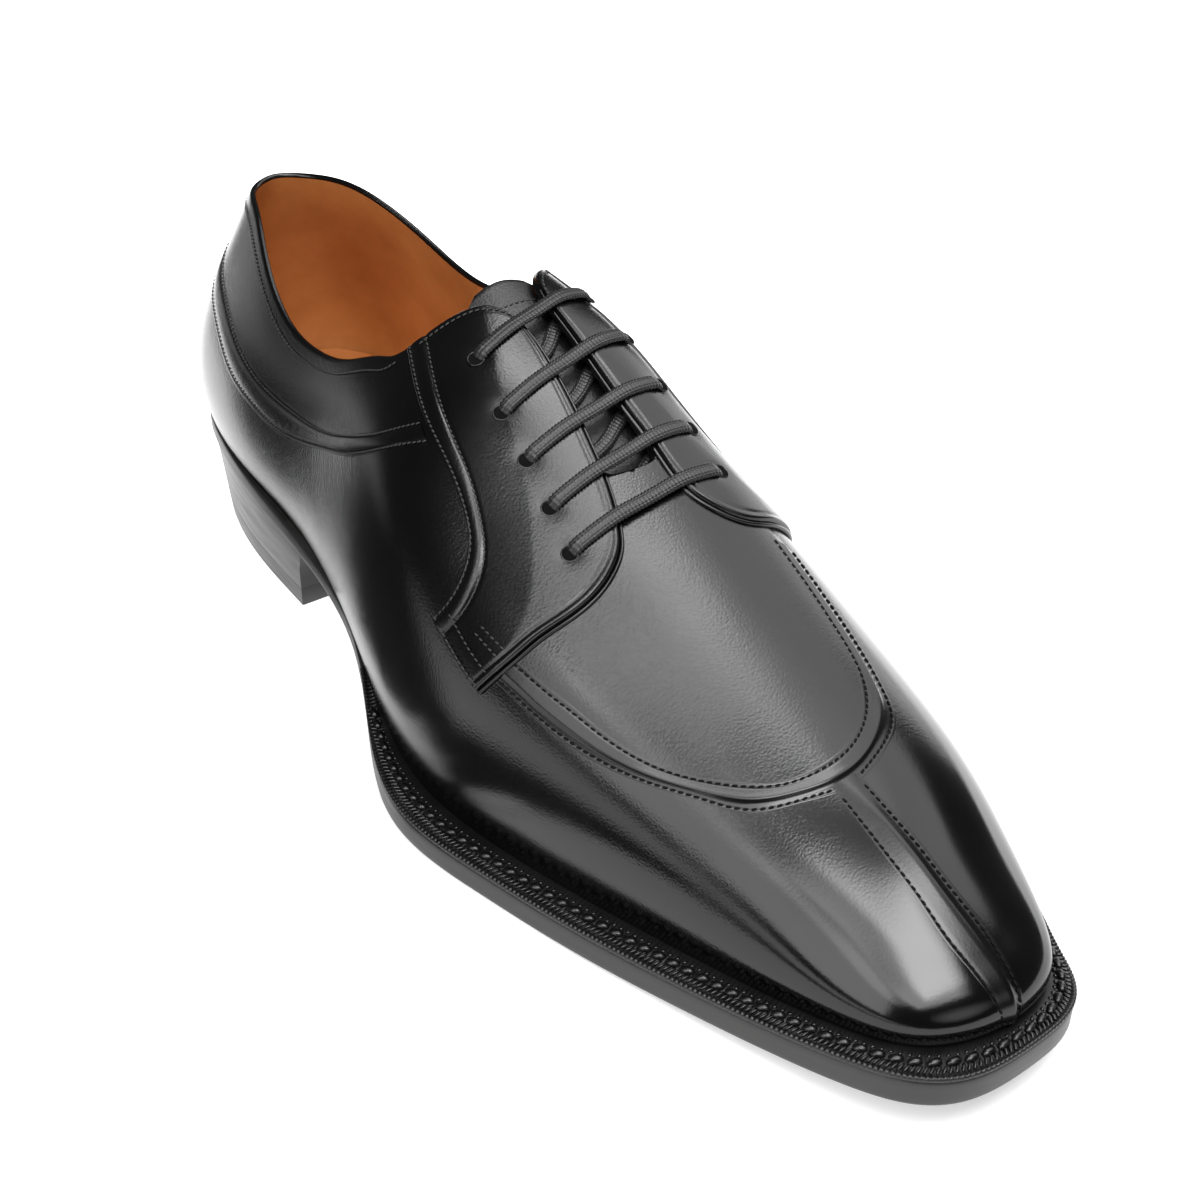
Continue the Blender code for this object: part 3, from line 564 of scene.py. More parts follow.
def principled(name, colour, roughness, coat=0.0, coat_roughness=0.1, specular=0.5):
    material = bpy.data.materials.new(name)
    material.use_nodes = True
    shader = fill(material.node_tree.nodes["Principled BSDF"], Base_Color=(*colour, 1.0), Roughness=roughness,
                  Coat_Weight=coat, Coat_Roughness=coat_roughness, Specular_IOR_Level=specular)
    material.diffuse_color = (*colour, 1.0)
    return material, shader, material.node_tree


def noise(tree, scale, detail, rough, stretch=None):
    vector = node(tree, "TexCoord").outputs["Object"]
    if stretch:
        vector = node(tree, "Mapping", Vector=vector, Scale=stretch).outputs["Vector"]
    made = node(tree, "TexNoise", Vector=vector, Scale=scale, Detail=detail, Roughness=rough)
    return made.outputs["Fac"]


def spread(tree, value, low, high, start=0.3, stop=0.7):
    """Maps a texture's value to a range."""
    made = node(tree, "MapRange", Value=value, From_Min=start, From_Max=stop, To_Min=low, To_Max=high)
    return made.outputs["Result"]


def shade(colour, gain):
    return tuple(c * gain for c in colour)


def mottle(tree, shader, value, dark, light):
    """Base colour between two tones by a texture's value."""
    made = node(tree, "Mix", spread(tree, value, 0.0, 1.0))
    made.data_type = "RGBA"
    made.inputs[6].default_value = (*dark, 1.0)
    made.inputs[7].default_value = (*light, 1.0)
    fill(shader, Base_Color=made.outputs[2])


def add_bump(tree, shader, heights):
    """Chains bumps of (height output, strength, distance in metres)."""
    chain = {}
    for value, strength, distance in heights:
        bump = node(tree, "Bump", Height=value, Strength=strength, Distance=distance, **chain)
        chain = {"Normal": bump.outputs["Normal"]}
    fill(shader, **chain)


def calf(name, roughness, grain, polished=0.0):
    """Polished black calf with pores and a fine crushed grain; polished is the gain of the polish map."""
    colour = (0.0014, 0.0014, 0.0015)
    material, shader, tree = principled(name, colour, roughness)
    pores = node(tree, "TexVoronoi", Vector=node(tree, "TexCoord").outputs["Object"], Scale=1700.0)
    creases = noise(tree, 1900.0, 3.0, 0.6)
    waves = noise(tree, 90.0, 0.0, 0.5)
    clouds = noise(tree, 28.0, 3.0, 0.5)
    mottle(tree, shader, clouds, shade(colour, 0.7), shade(colour, 1.4))
    rough = spread(tree, clouds, roughness - 0.02, roughness + 0.03)
    strength = grain
    if polished:
        shine = node(tree, "Attribute")
        shine.attribute_name = "polish"
        shine = shine.outputs["Fac"]
        rough = node(tree, "Math", shine, -polished, rough, operation="MULTIPLY_ADD").outputs["Value"]
        strength = spread(tree, shine, grain, grain * 0.15, 0.3, 1.0)
    fill(shader, Roughness=rough)
    add_bump(tree, shader, ((waves, 0.05, 0.0006), (creases, strength, 0.00008),
                            (pores.outputs["Distance"], strength, 0.00005)))
    return material


def lining_material():
    material, shader, tree = principled("tan_lining", (0.72, 0.27, 0.07), 0.5, 0.1, 0.3)
    mottle(tree, shader, noise(tree, 40.0, 4.0, 0.6), (0.42, 0.15, 0.035), (0.60, 0.24, 0.07))
    add_bump(tree, shader, ((noise(tree, 900.0, 3.0, 0.6), 0.25, 0.0001),))
    return material


def edge_material(name, colour, roughness, coat, strokes):
    """Inked and burnished leather edge with faint strokes round the sole."""
    material, shader, tree = principled(name, colour, roughness, coat, 0.2)
    lines = noise(tree, 60.0, 5.0, 0.6, (1.0, 1.0, 14.0))
    specks = noise(tree, 700.0, 2.0, 0.5)
    mottle(tree, shader, lines, shade(colour, 0.8), shade(colour, 1.25))
    fill(shader, Roughness=spread(tree, lines, roughness - 0.05, roughness + 0.08))
    add_bump(tree, shader, ((lines, strokes, 0.0001), (specks, 0.12, 0.00008)))
    return material


def thread_material(name, colour, roughness, specular=0.5):
    material, shader, tree = principled(name, colour, roughness, specular=specular)
    fibres = noise(tree, 1600.0, 2.0, 0.6)
    mottle(tree, shader, fibres, shade(colour, 0.7), shade(colour, 1.4))
    add_bump(tree, shader, ((fibres, 0.4, 0.0001),))
    return material


CALF = calf("black_calf", 0.21, 0.42, 0.09)
CALF_EDGE = calf("black_calf_edge", 0.2, 0.1)
CALF_FACING = calf("black_calf_facing", 0.22, 0.32)
CALF_TONGUE = calf("black_calf_tongue", 0.4, 0.9)
LINING = lining_material()
WELT = edge_material("black_welt", (0.003,) * 3, 0.36, 0.0, 0.15)
SOLE = edge_material("black_sole_edge", (0.012, 0.012, 0.0115), 0.42, 0.1, 0.15)
HEEL = edge_material("black_heel", (0.004,) * 3, 0.32, 0.0, 0.02)
RUBBER = edge_material("black_rubber", (0.004,) * 3, 0.33, 0.0, 0.02)
THREAD = thread_material("black_thread", (0.022, 0.022, 0.021), 0.6)
DARK_THREAD = thread_material("black_seam_thread", (0.003,) * 3, 0.8, 0.15)
WELT_THREAD = thread_material("black_welt_thread", (0.003,) * 3, 0.27)
CORD = thread_material("black_waxed_cord", (0.008,) * 3, 0.4)
# painted shade: near-black matte for the flat discs that fill the eyelet holes
HOLE_SHADE = thread_material("eyelet_painted_shade", (0.002,) * 3, 0.9, 0.1)


def last_skin():
    """Search tree of the last's surface in millimetres."""
    q = np.arange(0.0, PERIOD + 0.001, 0.125)
    v = np.linspace(-0.02, 1.0, 90)
    grid = last(q[None, :], v[:, None])
    return BVHTree.FromPolygons(grid.reshape(-1, 3).tolist(), grid_faces(len(v), len(q)))


LAST_SKIN = last_skin()


def top_edge(q, side):
    edge = np.array(TOP_EDGE)
    v = spline(edge[:, 0], edge[:, 1 + side], np.minimum(q, THROAT_END))
    return np.where(q >= THROAT_END - 1e-9, 1.0, np.minimum(v, 1.0))


def polish(points):
    """Share of mirror polish: full at the toe, some along the sides and the quarters."""
    s = Y_SHIFT - points[:, 1]
    toe = clamp((s - 228.0) / 34.0)
    quarter = 0.12 * clamp((175.0 - s) / 30.0)
    side = 0.6 * clamp((np.abs(points[:, 0] - 2.0) - 24.0) / 8.0) * clamp((s - 165.0) / 40.0)
    return np.maximum(toe, np.maximum(quarter, side))


def apron_lift(points):
    """Height of the plug inside the apron's crest over the leather round it."""
    rows = [trace(whole(seam), 1.0)[0] for seam in (APRON_INNER, APRON_OUTER)]
    pick = np.linspace(0, 1, min(len(row) for row in rows))
    inner, outer = (np.stack([np.interp(pick, np.linspace(0, 1, len(row)), row[:, k]) for k in (0, 1)],
                             axis=1) for row in rows)
    back = Y_SHIFT - 140.0
    crest = np.concatenate([inner * 0.45 + outer * 0.55, [(18.0, back), (-18.0, back)]])
    x, y = points[..., 0].ravel(), points[..., 1].ravel()
    inside = np.zeros(len(x), bool)
    near = np.full(len(x), 1e9)
    for a, b in zip(crest, np.roll(crest, -1, axis=0)):
        crosses = (a[1] > y) != (b[1] > y)
        slope = (b[0] - a[0]) / (b[1] - a[1] if b[1] != a[1] else 1e-9)
        inside ^= crosses & (x < a[0] + slope * (y - a[1]))
        near = np.minimum(near, np.hypot(x - a[0], y - a[1]))
    ramp = clamp(np.where(inside, near, -near) / 1.6 + 0.3)
    return (PLUG_LIFT * ramp * ramp * (3 - 2 * ramp)).reshape(points.shape[:-1])


def crease_depth(points):
    """Depth of the soft creases placed on the upper."""
    depth = np.zeros(points.shape[:-1])
    for start, stop, width, deep in CREASES:
        a, b = last(*start), last(*stop)
        share = clamp(((points - a) @ (b - a)) / ((b - a) @ (b - a)))
        away = np.linalg.norm(points - (a + share[..., None] * (b - a)), axis=-1)
        depth += deep * np.sin(math.pi * np.clip(share, 0.02, 0.98)) * np.exp(-(away / width) ** 2)
    return depth


def on_upper(points):
    """Nearest points of the last's skin."""
    return np.array([LAST_SKIN.find_nearest(Vector(p))[0] for p in points])


def build_upper():
    """Outer leather with a rolled top edge, and the lining inside it."""
    q = np.unique(np.round(np.r_[np.arange(0.0, ROWS + 0.001, 0.0625), np.arange(5.1, 5.9, 0.02),
                                 np.arange(7.4, THROAT_END, 0.02), THROAT_END], 5))
    levels = np.r_[-0.02, -0.01, 0.0, 0.012, 0.03, np.linspace(0.05, 1.0, 72)]
    inside = np.linspace(1.0, 0.0, 30)
    roll = np.linspace(0, math.pi, 9)[1:]
    collar = np.linspace(0, 5.22, 260)
    outer_points, outer_faces, inner_points, inner_faces, rows = [], [], [], [], []
    for side in (0, 1):
        top = top_edge(q, side)
        turn = q if side == 0 else PERIOD - q
        v = levels[:, None] * top[None, :]
        grid = last(turn[None, :], v)
        lift = apron_lift(grid) - crease_depth(grid)
        grid = grid + normal(turn[None, :], v) * lift[..., None]
        edge = last(turn, top)
        edge_normal = normal(turn, top)
        edge_up = unit(edge - last(turn, top - 0.02))
        rim = [edge - edge_normal * (WALL / 2 * (1 - math.cos(a))) + edge_up * (WALL / 2 * math.sin(a))
               for a in roll]
        full = np.concatenate([grid, np.stack(rim)])
        cols = len(q)
        faces = grid_faces(len(full), cols, side * len(full) * cols)
        outer_points.append(full.reshape(-1, 3))
        body = (len(levels) - 1) * (cols - 1)
        outer_faces += [f for k, f in enumerate(faces) if k < body or q[k % (cols - 1)] < THROAT_END - 1e-6]
        inner_faces += grid_faces(len(inside), cols, side * len(inside) * cols)
        inner_points.append(skin(turn[None, :], inside[:, None] * top[None, :], -WALL).reshape(-1, 3))
        v = top_edge(collar, side)
        turn = collar if side == 0 else PERIOD - collar
        v = v - 3.4 / np.linalg.norm(last(turn, v) - last(turn, v - 0.05), axis=1) * 0.05
        rows.append(((last(turn, v), normal(turn, v)), 0.2))
    upper = add_mesh("upper_leather", np.concatenate(outer_points), outer_faces, CALF)
    weld(upper, UPPER_WELD)
    coordinates = np.empty(len(upper.data.vertices) * 3)
    upper.data.vertices.foreach_get("co", coordinates)
    shine = upper.data.attributes.new("polish", "FLOAT", "POINT")
    shine.data.foreach_set("value", polish(coordinates.reshape(-1, 3) / MM))
    lining = add_mesh("upper_lining", np.concatenate(inner_points), inner_faces, LINING)
    weld(lining)
    lining.data.flip_normals()
    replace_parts(upper, "upper")
    return rows


def facing_map(shape):
    """Function of (f along from the bottom, g across from the rear) to (row, v)."""
    f_at = np.linspace(0, 1, 121)
    g_at = np.linspace(0, 1, 61)
    rear = path(shape["rear"], len(f_at))
    front = path(shape["front"], len(f_at))
    top = path(shape["top"], len(g_at))

    def at(f, g):
        f, g = np.broadcast_arrays(np.asarray(f, float), np.asarray(g, float))
        found = []
        for k in (0, 1):
            between = (1 - g) * np.interp(f, f_at, rear[:, k]) + g * np.interp(f, f_at, front[:, k])
            corners = (1 - g) * rear[-1, k] + g * front[-1, k]
            found.append(between + f ** 3 * (np.interp(g, g_at, top[:, k]) - corners))
        return found

    return at


def stations(size, step):
    """Positions along a width in millimetres, close together at both edges."""
    inner = np.linspace(MARGIN[-1], size - MARGIN[-1], max(int((size - 2 * MARGIN[-1]) / step), 2))
    return np.r_[MARGIN[:-1], inner, size - MARGIN[-2::-1]] / size


def facing_thickness(from_rear):
    return FACE_REAR + (FACE_TOP - FACE_REAR) * clamp((from_rear - 3.0) / 16.0)


def dip(away, depth, width):
    return depth * np.exp(-(away / width) ** 2)


def build_facing(name, shape, turn):
    """Facing with rounded edges, sewn down along its rear, with a folded edge at the throat."""
    at = facing_map(shape)

    def ring_row(f, g):
        q, v = at(f, g)
        return (PERIOD - q if turn else q), v

    def row(f_line, g_line, count=400):
        rq, rv = ring_row(f_line, g_line)
        return resample(last(rq, rv), normal(rq, rv), count)

    f = stations(FACING_SIZE[0], 0.9)
    g = stations(FACING_SIZE[1], 0.7)
    q, v = ring_row(f[:, None], g[None, :])
    base = last(q, v)
    width = np.linalg.norm(np.diff(base, axis=1), axis=2).sum(1)
    length = np.linalg.norm(np.diff(base, axis=0), axis=2).sum(0)
    from_rear = g * width[:, None]
    from_front = (1 - g) * width[:, None]
    from_bottom = f[:, None] * length
    from_top = (1 - f[:, None]) * length
    edge = np.minimum(np.minimum(from_rear, from_front), np.minimum(from_bottom, from_top))
    rise = np.sqrt(clamp(1 - (1 - clamp(edge / 0.9)) ** 2))
    puff = dip(from_rear - 3.0, 0.3, 1.5)
    groove = dip(from_rear - 1.0, 0.25, 0.4) + dip(from_rear - 5.2, 0.4, 0.5)
    groove = groove + dip(np.minimum(from_front, from_top) - 2.0, 0.2, 0.4)
    for eyelet in medial(EYELETS_MEDIAL) if turn else EYELETS_LATERAL:
        groove = groove + dip(np.linalg.norm(base - last(*eyelet), axis=2), 0.28, 2.6)
    height = -0.15 + (facing_thickness(from_rear) + 0.15 + puff - groove) * rise
    piece = sheet(name + "_leather", base + normal(q, v) * height[..., None], CALF_FACING)
    weld(piece)
    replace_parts(piece, name)

    line = np.linspace(0, 1, 300)
    mean_width = np.interp(line, f, width)
    mean_length = np.interp(line, g, length)
    rows = [(row(np.clip(line, 0.012, 1.0), 1.0 / mean_width), 0.72),
            (row(np.clip(line, 0.055, 0.985), 5.2 / mean_width), 0.72)]
    if not turn:
        tack = np.linspace(0.5, 0.88, 60)
        for tack_f in TACK_ROWS:
            q, v = ring_row(tack_f, tack)
            lift = facing_thickness(tack * np.interp(tack_f, f, width)) + 0.1
            up = normal(q, v)
            rows.append(((last(q, v) + up * lift[:, None], up), 0.0))
    for inset, start, stop in ((1 - 2.0 / mean_length, 0.12, 0.96), (1.3 / mean_length, 0.02, 0.97),
                               (5.4 / mean_length, 0.14, 0.93)):
        points, up = row(inset, np.clip(line, start, stop))
        lift = facing_thickness(np.linspace(start, stop, len(points)) * np.mean(width))
        rows.append(((points + up * lift[:, None], up), 0.02))
    points, up = row(line, 1.0, 320)
    inner = row(line, 0.9, 320)[0]
    outward = unit(np.cross(unit(np.gradient(points, axis=0)), up))
    outward = np.where(((points - inner) * outward).sum(1)[:, None] < 0, -outward, outward)
    angle = circle(8)
    section = np.stack([0.5 * np.cos(angle), 0.6 * np.sin(angle)], axis=1)
    fold = tube(points + outward * 0.45 + up * 0.45, up, section)
    sheet(name + "_fold", fold, CALF_EDGE, around=True)
    return rows


def build_seams():
    """Apron, split toe and collar band between their stitch rows."""
    def row(points, lead=0.0):
        p, n = trace(points, 0.5, lead)
        return on_upper(p), n

    inner = row(whole(APRON_INNER))
    outer = row(whole(APRON_OUTER))
    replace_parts(band("apron_band", inner, outer, APRON_PROFILE, CALF_EDGE), "apron_seam")
    toe = band("toe_band", row(TOE_LEFT, 4.4), row(medial(TOE_RIGHT), 3.4), TOE_PROFILE, CALF_EDGE, 200,
               TOE_START)
    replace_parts(toe, "toe_seam")
    collar = [row(list(line) + [(-q, v) for q, v in line[-2::-1]]) for line in (COLLAR_UPPER, COLLAR_LOWER)]
    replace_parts(band("collar_band", *collar, COLLAR_PROFILE, CALF_FACING), "collar_seam")
    dark_rows = [(inner, 0.32), (row(APRON_OUTER[0]), 0.08), (row(medial(APRON_OUTER[1])), 0.08),
                 (row(TOE_LEFT, 1.4), 0.1), (row(medial(TOE_RIGHT), 0.6), 0.1)]
    beads("seam_stitches", dark_rows, *SEAM_STITCH, DARK_THREAD, "calf")
    return [(line, 0.26) for line in collar]


def across(q, left, right, offset):
    """Smooth line over the ridge at row q, from v left to v right."""
    turn = np.r_[np.full(5, q), np.full(5, PERIOD - q)]
    v = np.r_[np.linspace(left, 0.93, 5), np.linspace(0.93, right, 5)]
    p = skin(turn, v, offset)
    length = run(p)
    return spline(length, p, np.linspace(0, length[-1], 61))


def build_tongue():
    """Tongue under the throat with a rolled top edge and a row of stitches below it."""
    rows = np.array(TONGUE)
    at = np.linspace(rows[0, 0], rows[-1, 0], 70)
    edges = spline(rows[:, 0], rows[:, 1:], at)
    grid = []
    for q, (left, right) in zip(at, edges):
        eased = min((q - rows[0, 0]) / 0.6, 1.0)
        grid.append(across(q, left, right, -2.4 - 0.8 * eased))
    grid = np.array(grid)
    top = grid[0]
    along = unit(grid[1] - top)
    outward = np.broadcast_to(unit(np.array((0.0, -0.35, 0.94))), top.shape)
    roll = [top - outward * depth - along * reach for depth, reach in TONGUE_ROLL]
    tongue = sheet("tongue_leather", np.concatenate([np.array(roll), grid]), CALF_TONGUE)
    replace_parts(tongue, "tongue")
    p = grid[6] + along * 0.4
    return [((p[4:-4], outward[4:-4]), 0.1)]


def under(target, q, v):
    """Row and v of the last's point that lies at a plan position, from a first guess."""
    for _ in range(12):
        here = last(q, v)[:2]
        by_q = (last(q + 0.01, v)[:2] - here) / 0.01
        by_v = (last(q, v + 0.001)[:2] - here) / 0.001
        move = np.linalg.solve(np.stack([by_q, by_v], axis=1), target - here)
        q += move[0]
        v = min(v + move[1], 1.0)
    return q, v


def bridge(start, end, share, height):
    """Point at a share of the straight way in plan between two eyelets, at a height off the last."""
    first = last(*start)[:2]
    final = last(*end)[:2]
    guess = start if share < 0.5 else end
    q, v = under(first + (final - first) * share, guess[0], 0.5 * (guess[1] + 0.95))
    return skin(q, v, height)


def lace(name, points, start, end):
    """Flat-round braided cord along a smooth line through points between two eyelets."""
    points = np.array(points)
    length = run(points)
    line = spline(length, points, np.linspace(0, length[-1], max(int(length[-1] / LACE_STEP), 8)))
    side = unit(np.cross(unit(line[-1] - line[0]), normal(*start) + normal(*end)))
    angle = circle(48)
    along = np.arange(len(line)) * LACE_STEP
    turn = BRAID_STRANDS * angle[None, :]
    twist = along[:, None] * BRAID_TURN
    swell = 1.0 + BRAID_SWELL * (np.sin(turn + twist) * np.sin(turn - twist))
    ends = np.minimum(1.0, np.minimum(along, along[::-1]) / 0.8 + 0.35)[:, None]
    wide = np.sign(np.cos(angle)) * np.abs(np.cos(angle)) ** 0.8 * LACE_WIDTH / 2
    high = np.sign(np.sin(angle)) * np.abs(np.sin(angle)) ** 0.8 * LACE_THICK / 2
    braid = tube(line, None, np.stack([wide * swell * ends, high * swell * ends], axis=-1), side)
    return sheet(name, braid, CORD, around=True)


def build_laces():
    """Five bars out of the eyelets and over the facings, and the runs that cross under them."""
    ride = FACE_TOP + LACE_THICK / 2
    starts = EYELETS_LATERAL
    ends = medial(EYELETS_MEDIAL)
    settle = ((0.03, 0.35), (0.08, 0.1), (0.18, 0.0), (0.29, 0.0))
    leave = ((0.71, 0.0), (0.82, 0.0), (0.92, 0.1), (0.97, 0.35))
    for number, (start, end) in enumerate(zip(starts, ends), 1):
        left, right = ([bridge(start, end, k, ride - d) for k, d in part] for part in (settle, leave))
        middle = [left[-1] + (right[0] - left[-1]) * k for k in (0.33, 0.67)]
        line = [skin(*start, -0.6), skin(*start, 0.9)] + left + middle + right
        line += [skin(*end, 0.9), skin(*end, -0.6)]
        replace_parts(lace("lace_%d" % number, line, start, end), "lace_bar_%d" % number)
    for number, (start, end) in enumerate(zip(starts[1:], ends), 1):
        line = [bridge(start, end, k, -2.2) for k in (0.2, 0.35, 0.5, 0.65, 0.8)]
        lace("lace_under_%d" % number, [skin(*start, -1.2)] + line + [skin(*end, -1.2)], start, end)


def build_eyelets():
    """Punched holes shown as flat dark discs of painted shade, each with a small pressed rim."""
    shade_discs, shade_disc_faces, rims, rim_faces = [], [], [], []
    turn = circle(HOLE_SIDES)[:, None]
    i = np.arange(HOLE_SIDES)[:, None] * RIM_SIDES
    j = np.arange(RIM_SIDES)[None, :]
    i2 = np.roll(i, -1)
    j2 = np.roll(j, -1)
    quads = np.stack([i + j, i2 + j, i2 + j2, i + j2], axis=-1).reshape(-1, 4)
    for number, (q, v) in enumerate(list(EYELETS_LATERAL) + medial(EYELETS_MEDIAL)):
        n = normal(q, v)
        a = unit(np.cross(n, (0.0, 0.0, 1.0)))
        out = np.cos(turn) * a + np.sin(turn) * np.cross(n, a)
        outward = unit(skin(q, v - 0.02, FACE_TOP) - skin(q, v, FACE_TOP))
        centre = skin(q, v, FACE_TOP - 0.14) + outward * 0.75
        shade_discs.append(centre + HOLE_RADIUS * out)
        shade_disc_faces.append([HOLE_SIDES * number + k for k in range(HOLE_SIDES)])
        rim = [centre + out * (RIM_RADIUS + 0.2 * math.cos(t)) + n * (0.22 * math.sin(t) - 0.06)
               for t in circle(RIM_SIDES)]
        rims.append(np.stack(rim, axis=1).reshape(-1, 3))
        rim_faces += (quads + HOLE_SIDES * RIM_SIDES * number).tolist()
    # flat near-black discs of painted shade stand in for the inside of the holes
    add_mesh("eyelet_shade_discs", np.concatenate(shade_discs), shade_disc_faces, HOLE_SHADE, smooth=False)
    add_mesh("eyelet_rims", np.concatenate(rims), rim_faces, CALF_EDGE)


def rungs(n):
    """Faces that close a loop of n points from one side to the other."""
    faces = [list(dict.fromkeys([i, i + 1, n - i - 1, (n - i) % n])) for i in range(n // 2)]
    return [face for face in faces if len(face) > 2]


def stack(name, loops, material):
    """Closed solid from loops laid one over another."""
    n = len(loops[0])
    faces = [face[::-1] for face in rungs(n)]
    top = (len(loops) - 1) * n
    faces += [[top + k for k in face] for face in rungs(n)]
    faces += grid_faces(len(loops), n, 0, True)
    item = add_mesh(name, np.concatenate(loops), faces, material)
    item.data.set_sharp_from_angle(angle=math.radians(40.0))
    return item


def build_sole():
    """Outsole with its burnished edge, heel lifts and top piece."""
    q = np.arange(0.0, PERIOD, 0.0625)
    loops = []
    for inset, share in OUTSOLE_EDGE:
        x, s = outline(q, inset)
        loops.append(place(x, s, (1 - share) * sole_bottom(s) + share * outsole_top(s)))
    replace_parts(stack("outsole_edge", loops, SOLE), "outsole")

    def heel_loop(edge, low, share=0.0):
        """Loop at a share of the way from a low height to the underside of the seat."""
        inset, breast, pitch = edge
        half = np.linspace(0, 4.0, 81)
        x, s = outline(np.r_[half, PERIOD - half[:0:-1]], inset)
        s = pitch + s * (breast - pitch) / HEEL_LENGTH
        return place(x, s, (1 - share) * low + share * (sole_bottom(s) - 0.1))

    floor, joint, middle, seat = (np.array(row) for row in HEEL_EDGE.values())
    top = [heel_loop(floor + (0.6, -0.4, 0.4), 0.0), heel_loop(floor, 0.5), heel_loop(joint, TOP_PIECE - 0.3),
           heel_loop(joint + (0.04, -0.04, 0.0), TOP_PIECE)]
    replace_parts(stack("heel_rubber", top, RUBBER), "heel_top_piece")
    lifts = []
    for share in (0.0, 0.02, 0.25, 0.5, 0.75, 0.98, 1.0):
        edge = joint + (middle - joint) * min(2 * share, 1.0) + (seat - middle) * max(2 * share - 1.0, 0.0)
        edge[0] += 0.04 if share in (0.0, 1.0) else 0.0
        lifts.append(heel_loop(edge, TOP_PIECE + 0.03, share))
    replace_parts(stack("heel_lifts", lifts, HEEL), "heel_stack")


def build_welt():
    """Welt strip with a wheeled top, a notched lip and its row of thick stitches."""
    coarse = np.linspace(WELT_START, PERIOD - WELT_START, 2600)
    x, s = outline(coarse, 0.0)
    length = np.r_[0.0, np.cumsum(np.hypot(np.diff(x), np.diff(s)))]
    at = np.linspace(0, length[-1], int(length[-1] / WELT_STEP))
    q = np.interp(at, length, coarse)
    wave = np.abs(np.sin(math.pi * at / WHEEL_PITCH))
    welt_width = rib(q)[2]
    show = np.clip(welt_width / 5.0, 0.15, 1.0)
    drop = table(SEAT_DEPTH, np.interp(q, coarse, s))
    lip = -LIP_SHARE * drop

    def column(inset, height):
        cx, cs = outline(q, inset)
        return place(cx, cs, feather_z(cs) + height)

    columns = ((1.2, 0.05 - drop),
               (0.3, 0.08 - drop),
               (0.05, 0.2 - drop),
               (-0.05 - 0.12 * wave, 0.5 * (lip - drop)),
               (0.1 - 0.12 * wave, lip + 0.15 * wave),
               (0.45, lip + 0.1 + 0.2 * wave),
               (0.8, lip - 0.1 + 0.3 * wave),
               (0.8 + 0.6 * show, lip - 0.25 + 0.35 * wave),
               (1.0 + 1.8 * show, 0.8 * lip - 0.3 + 0.25 * wave),
               (1.2 + 3.2 * show, 0.6 * lip - 0.35 + 0.1 * wave),
               (welt_width - 0.2 * show, 0.4 * lip - 0.4),
               (welt_width + 2.0, 0.4 * lip - 0.4))
    welt = sheet("welt_strip", np.stack([column(*row) for row in columns], axis=1), WELT)
    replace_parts(welt, "welt")
    mid = q[(q > 5.9) & (q < PERIOD - 5.9)]
    width = rib(mid)[2]

    def line(share):
        cx, cs = outline(mid, share * width)
        p = place(cx, cs, feather_z(cs) - LIP_SHARE * table(SEAT_DEPTH, cs) * (1.0 - 0.6 * share))
        return p, np.broadcast_to(np.array((0.0, 0.0, 1.0)), p.shape)

    beads("welt_stitches", [(line(0.52), -0.05)], *WELT_STITCH, WELT_THREAD, "welt_leather")
    beads("welt_ridges", [(line(0.3), -0.12)], *WELT_RIDGE, WELT_THREAD, "welt_leather")
    beads("welt_pricks", [(line(0.74), -0.3)], *WELT_PRICK, WELT_THREAD, "welt_leather")


stitch_rows = build_upper()
stitch_rows += build_facing("facing_lateral", FACING_LATERAL, False)
stitch_rows += build_facing("facing_medial", FACING_MEDIAL, True)
stitch_rows += build_seams()
stitch_rows += build_tongue()
beads("stitches", stitch_rows, *STITCH, THREAD, "calf")
build_laces()
build_eyelets()
build_sole()
build_welt()
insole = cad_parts["insole"]
insole.data.materials.clear()
insole.data.materials.append(LINING)


def build_floor():
    """Pale floor of two sheets with a painted glow, brighter towards the back and far out."""
    along = Vector((0.593, 0.805, 0.0))
    aside = Vector((0.805, -0.593, 0.0))
    mesh = bpy.data.meshes.new("floor")
    corners = [along * a + aside * b for line in FLOOR_SHEETS for a, b in line]
    first = len(FLOOR_SHEETS[0])
    mesh.from_pydata(corners, [], [tuple(range(first))[::-1], tuple(range(first, len(corners)))])
    mesh.validate()
    material, shader, tree = principled("pale_floor_painted_glow", (0.6,) * 3, 0.7, specular=0.2)
    coords = node(tree, "TexCoord").outputs["Object"]
    depth = node(tree, "VectorMath", coords, along, operation="DOT_PRODUCT").outputs["Value"]
    reach = node(tree, "VectorMath", coords, operation="LENGTH").outputs["Value"]
    back = spread(tree, depth, 0.5, 1.8, -0.05, 0.2)
    far = spread(tree, reach, 0.0, 0.6, 0.45, 0.9)
    glow = node(tree, "Math", back, far)
    # painted glow: the floor emits light of its own, stronger towards the back and far out, which lightens
    # the shadows on it
    fill(shader, Emission_Color=(1.0, 1.0, 1.0, 1.0), Emission_Strength=glow.outputs["Value"])
    mesh.materials.append(material)
    link("floor", mesh)


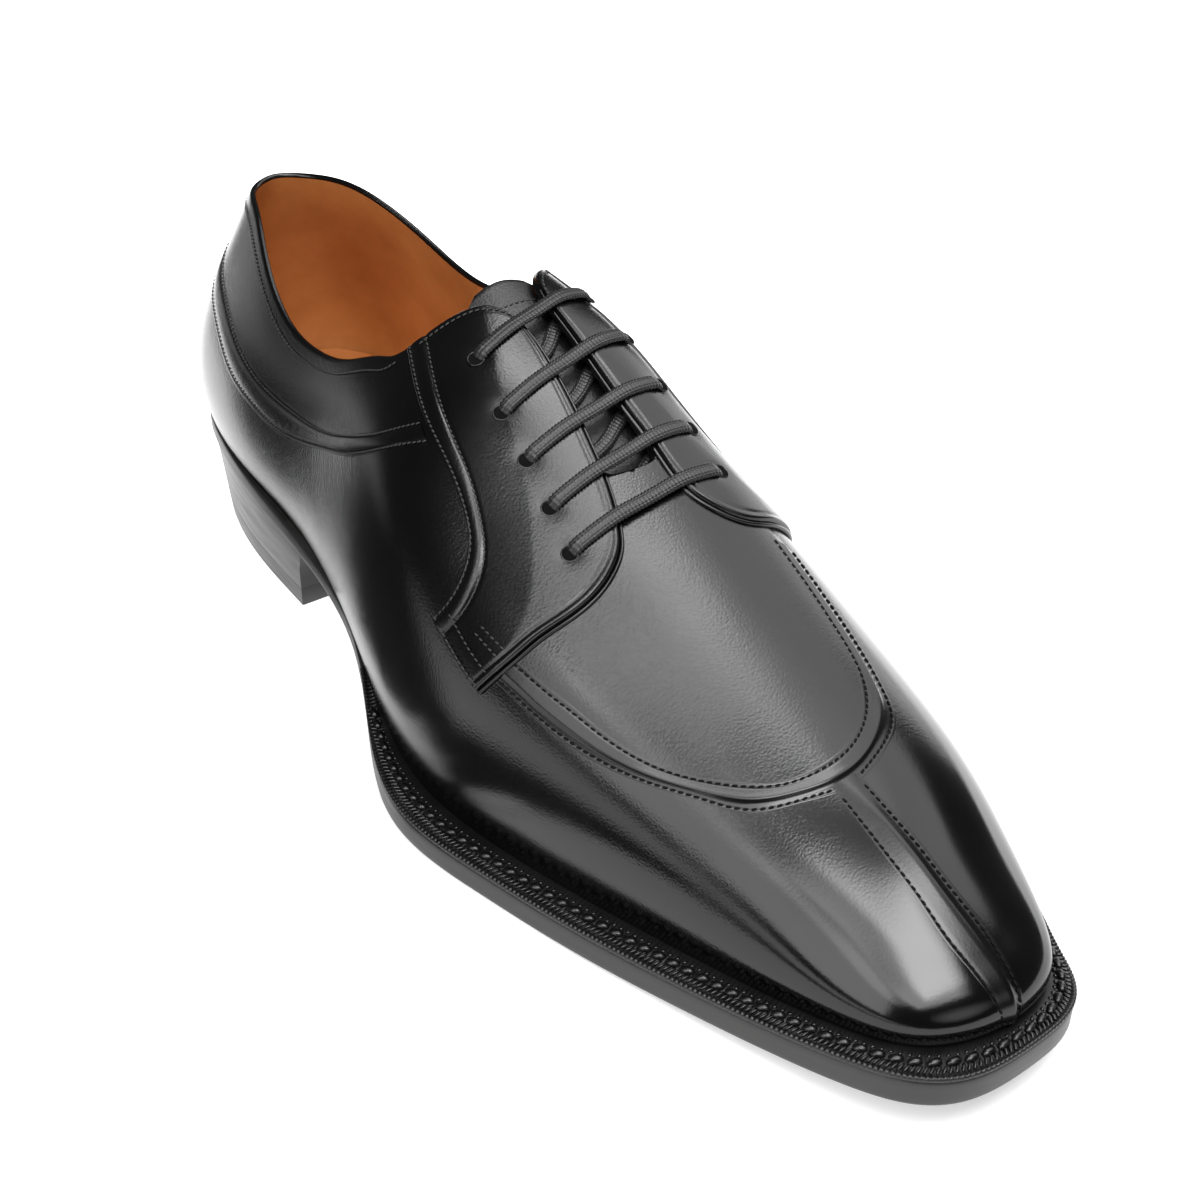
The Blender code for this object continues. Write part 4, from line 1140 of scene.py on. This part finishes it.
def build_world():
    """Surroundings that are white where they are seen and dim as a light."""
    world = bpy.data.worlds.new("studio")
    bpy.context.scene.world = world
    world.use_nodes = True
    tree = world.node_tree
    seen = node(tree, "LightPath").outputs["Is Camera Ray"]
    level = node(tree, "Math", seen, WORLD_SEEN, WORLD_LEVEL, operation="MULTIPLY_ADD")
    fill(tree.nodes["Background"], Color=(1.0, 1.0, 1.0, 1.0), Strength=level.outputs["Value"])


def softbox(name, at, aim, size, radiance, rings):
    """Area light from rings, each a little over the last so that none hides another."""
    for number, (scale, share) in enumerate(rings, 1):
        lamp = bpy.data.lights.new("%s_%d" % (name, number), "AREA")
        lamp.shape = "ELLIPSE" if rings is SOFT else "RECTANGLE"
        lamp.size, lamp.size_y = size[0] * scale, size[1] * scale
        area = lamp.size * lamp.size_y * (math.pi / 4 if rings is SOFT else 1.0)
        lamp.energy = radiance * share * math.pi * area
        item = link(lamp.name, lamp)
        item.location = Vector(at) + Vector((0.0, 0.0, RING_RISE * number))
        item.visible_camera = False
        if aim:
            item.rotation_euler = (Vector(aim) - Vector(at)).to_track_quat("-Z", "Y").to_euler()


def build_camera():
    """Camera at the photograph's angle."""
    camera = bpy.data.cameras.new("camera")
    camera.sensor_width = 36.0
    camera.lens = CAMERA_LENS
    camera.clip_start = 0.01
    azimuth, elevation, roll = (math.radians(a) for a in CAMERA_TURN)
    away = Vector((math.sin(azimuth) * math.cos(elevation), -math.cos(azimuth) * math.cos(elevation),
                   math.sin(elevation)))
    right = Vector((math.cos(azimuth), math.sin(azimuth), 0.0))
    up = away.cross(right)
    turn_right = math.cos(roll) * right + math.sin(roll) * up
    turn_up = -math.sin(roll) * right + math.cos(roll) * up
    pose = Matrix((turn_right, turn_up, away)).transposed().to_4x4()
    pose.translation = (Vector(CAMERA_TARGET) + away * CAMERA_AWAY) * MM
    item = link("camera", camera)
    item.matrix_world = pose
    bpy.context.scene.camera = item


build_floor()
build_world()
for light in SOFTBOXES:
    softbox(*light)
build_camera()
bpy.context.scene.view_settings.view_transform = "Standard"
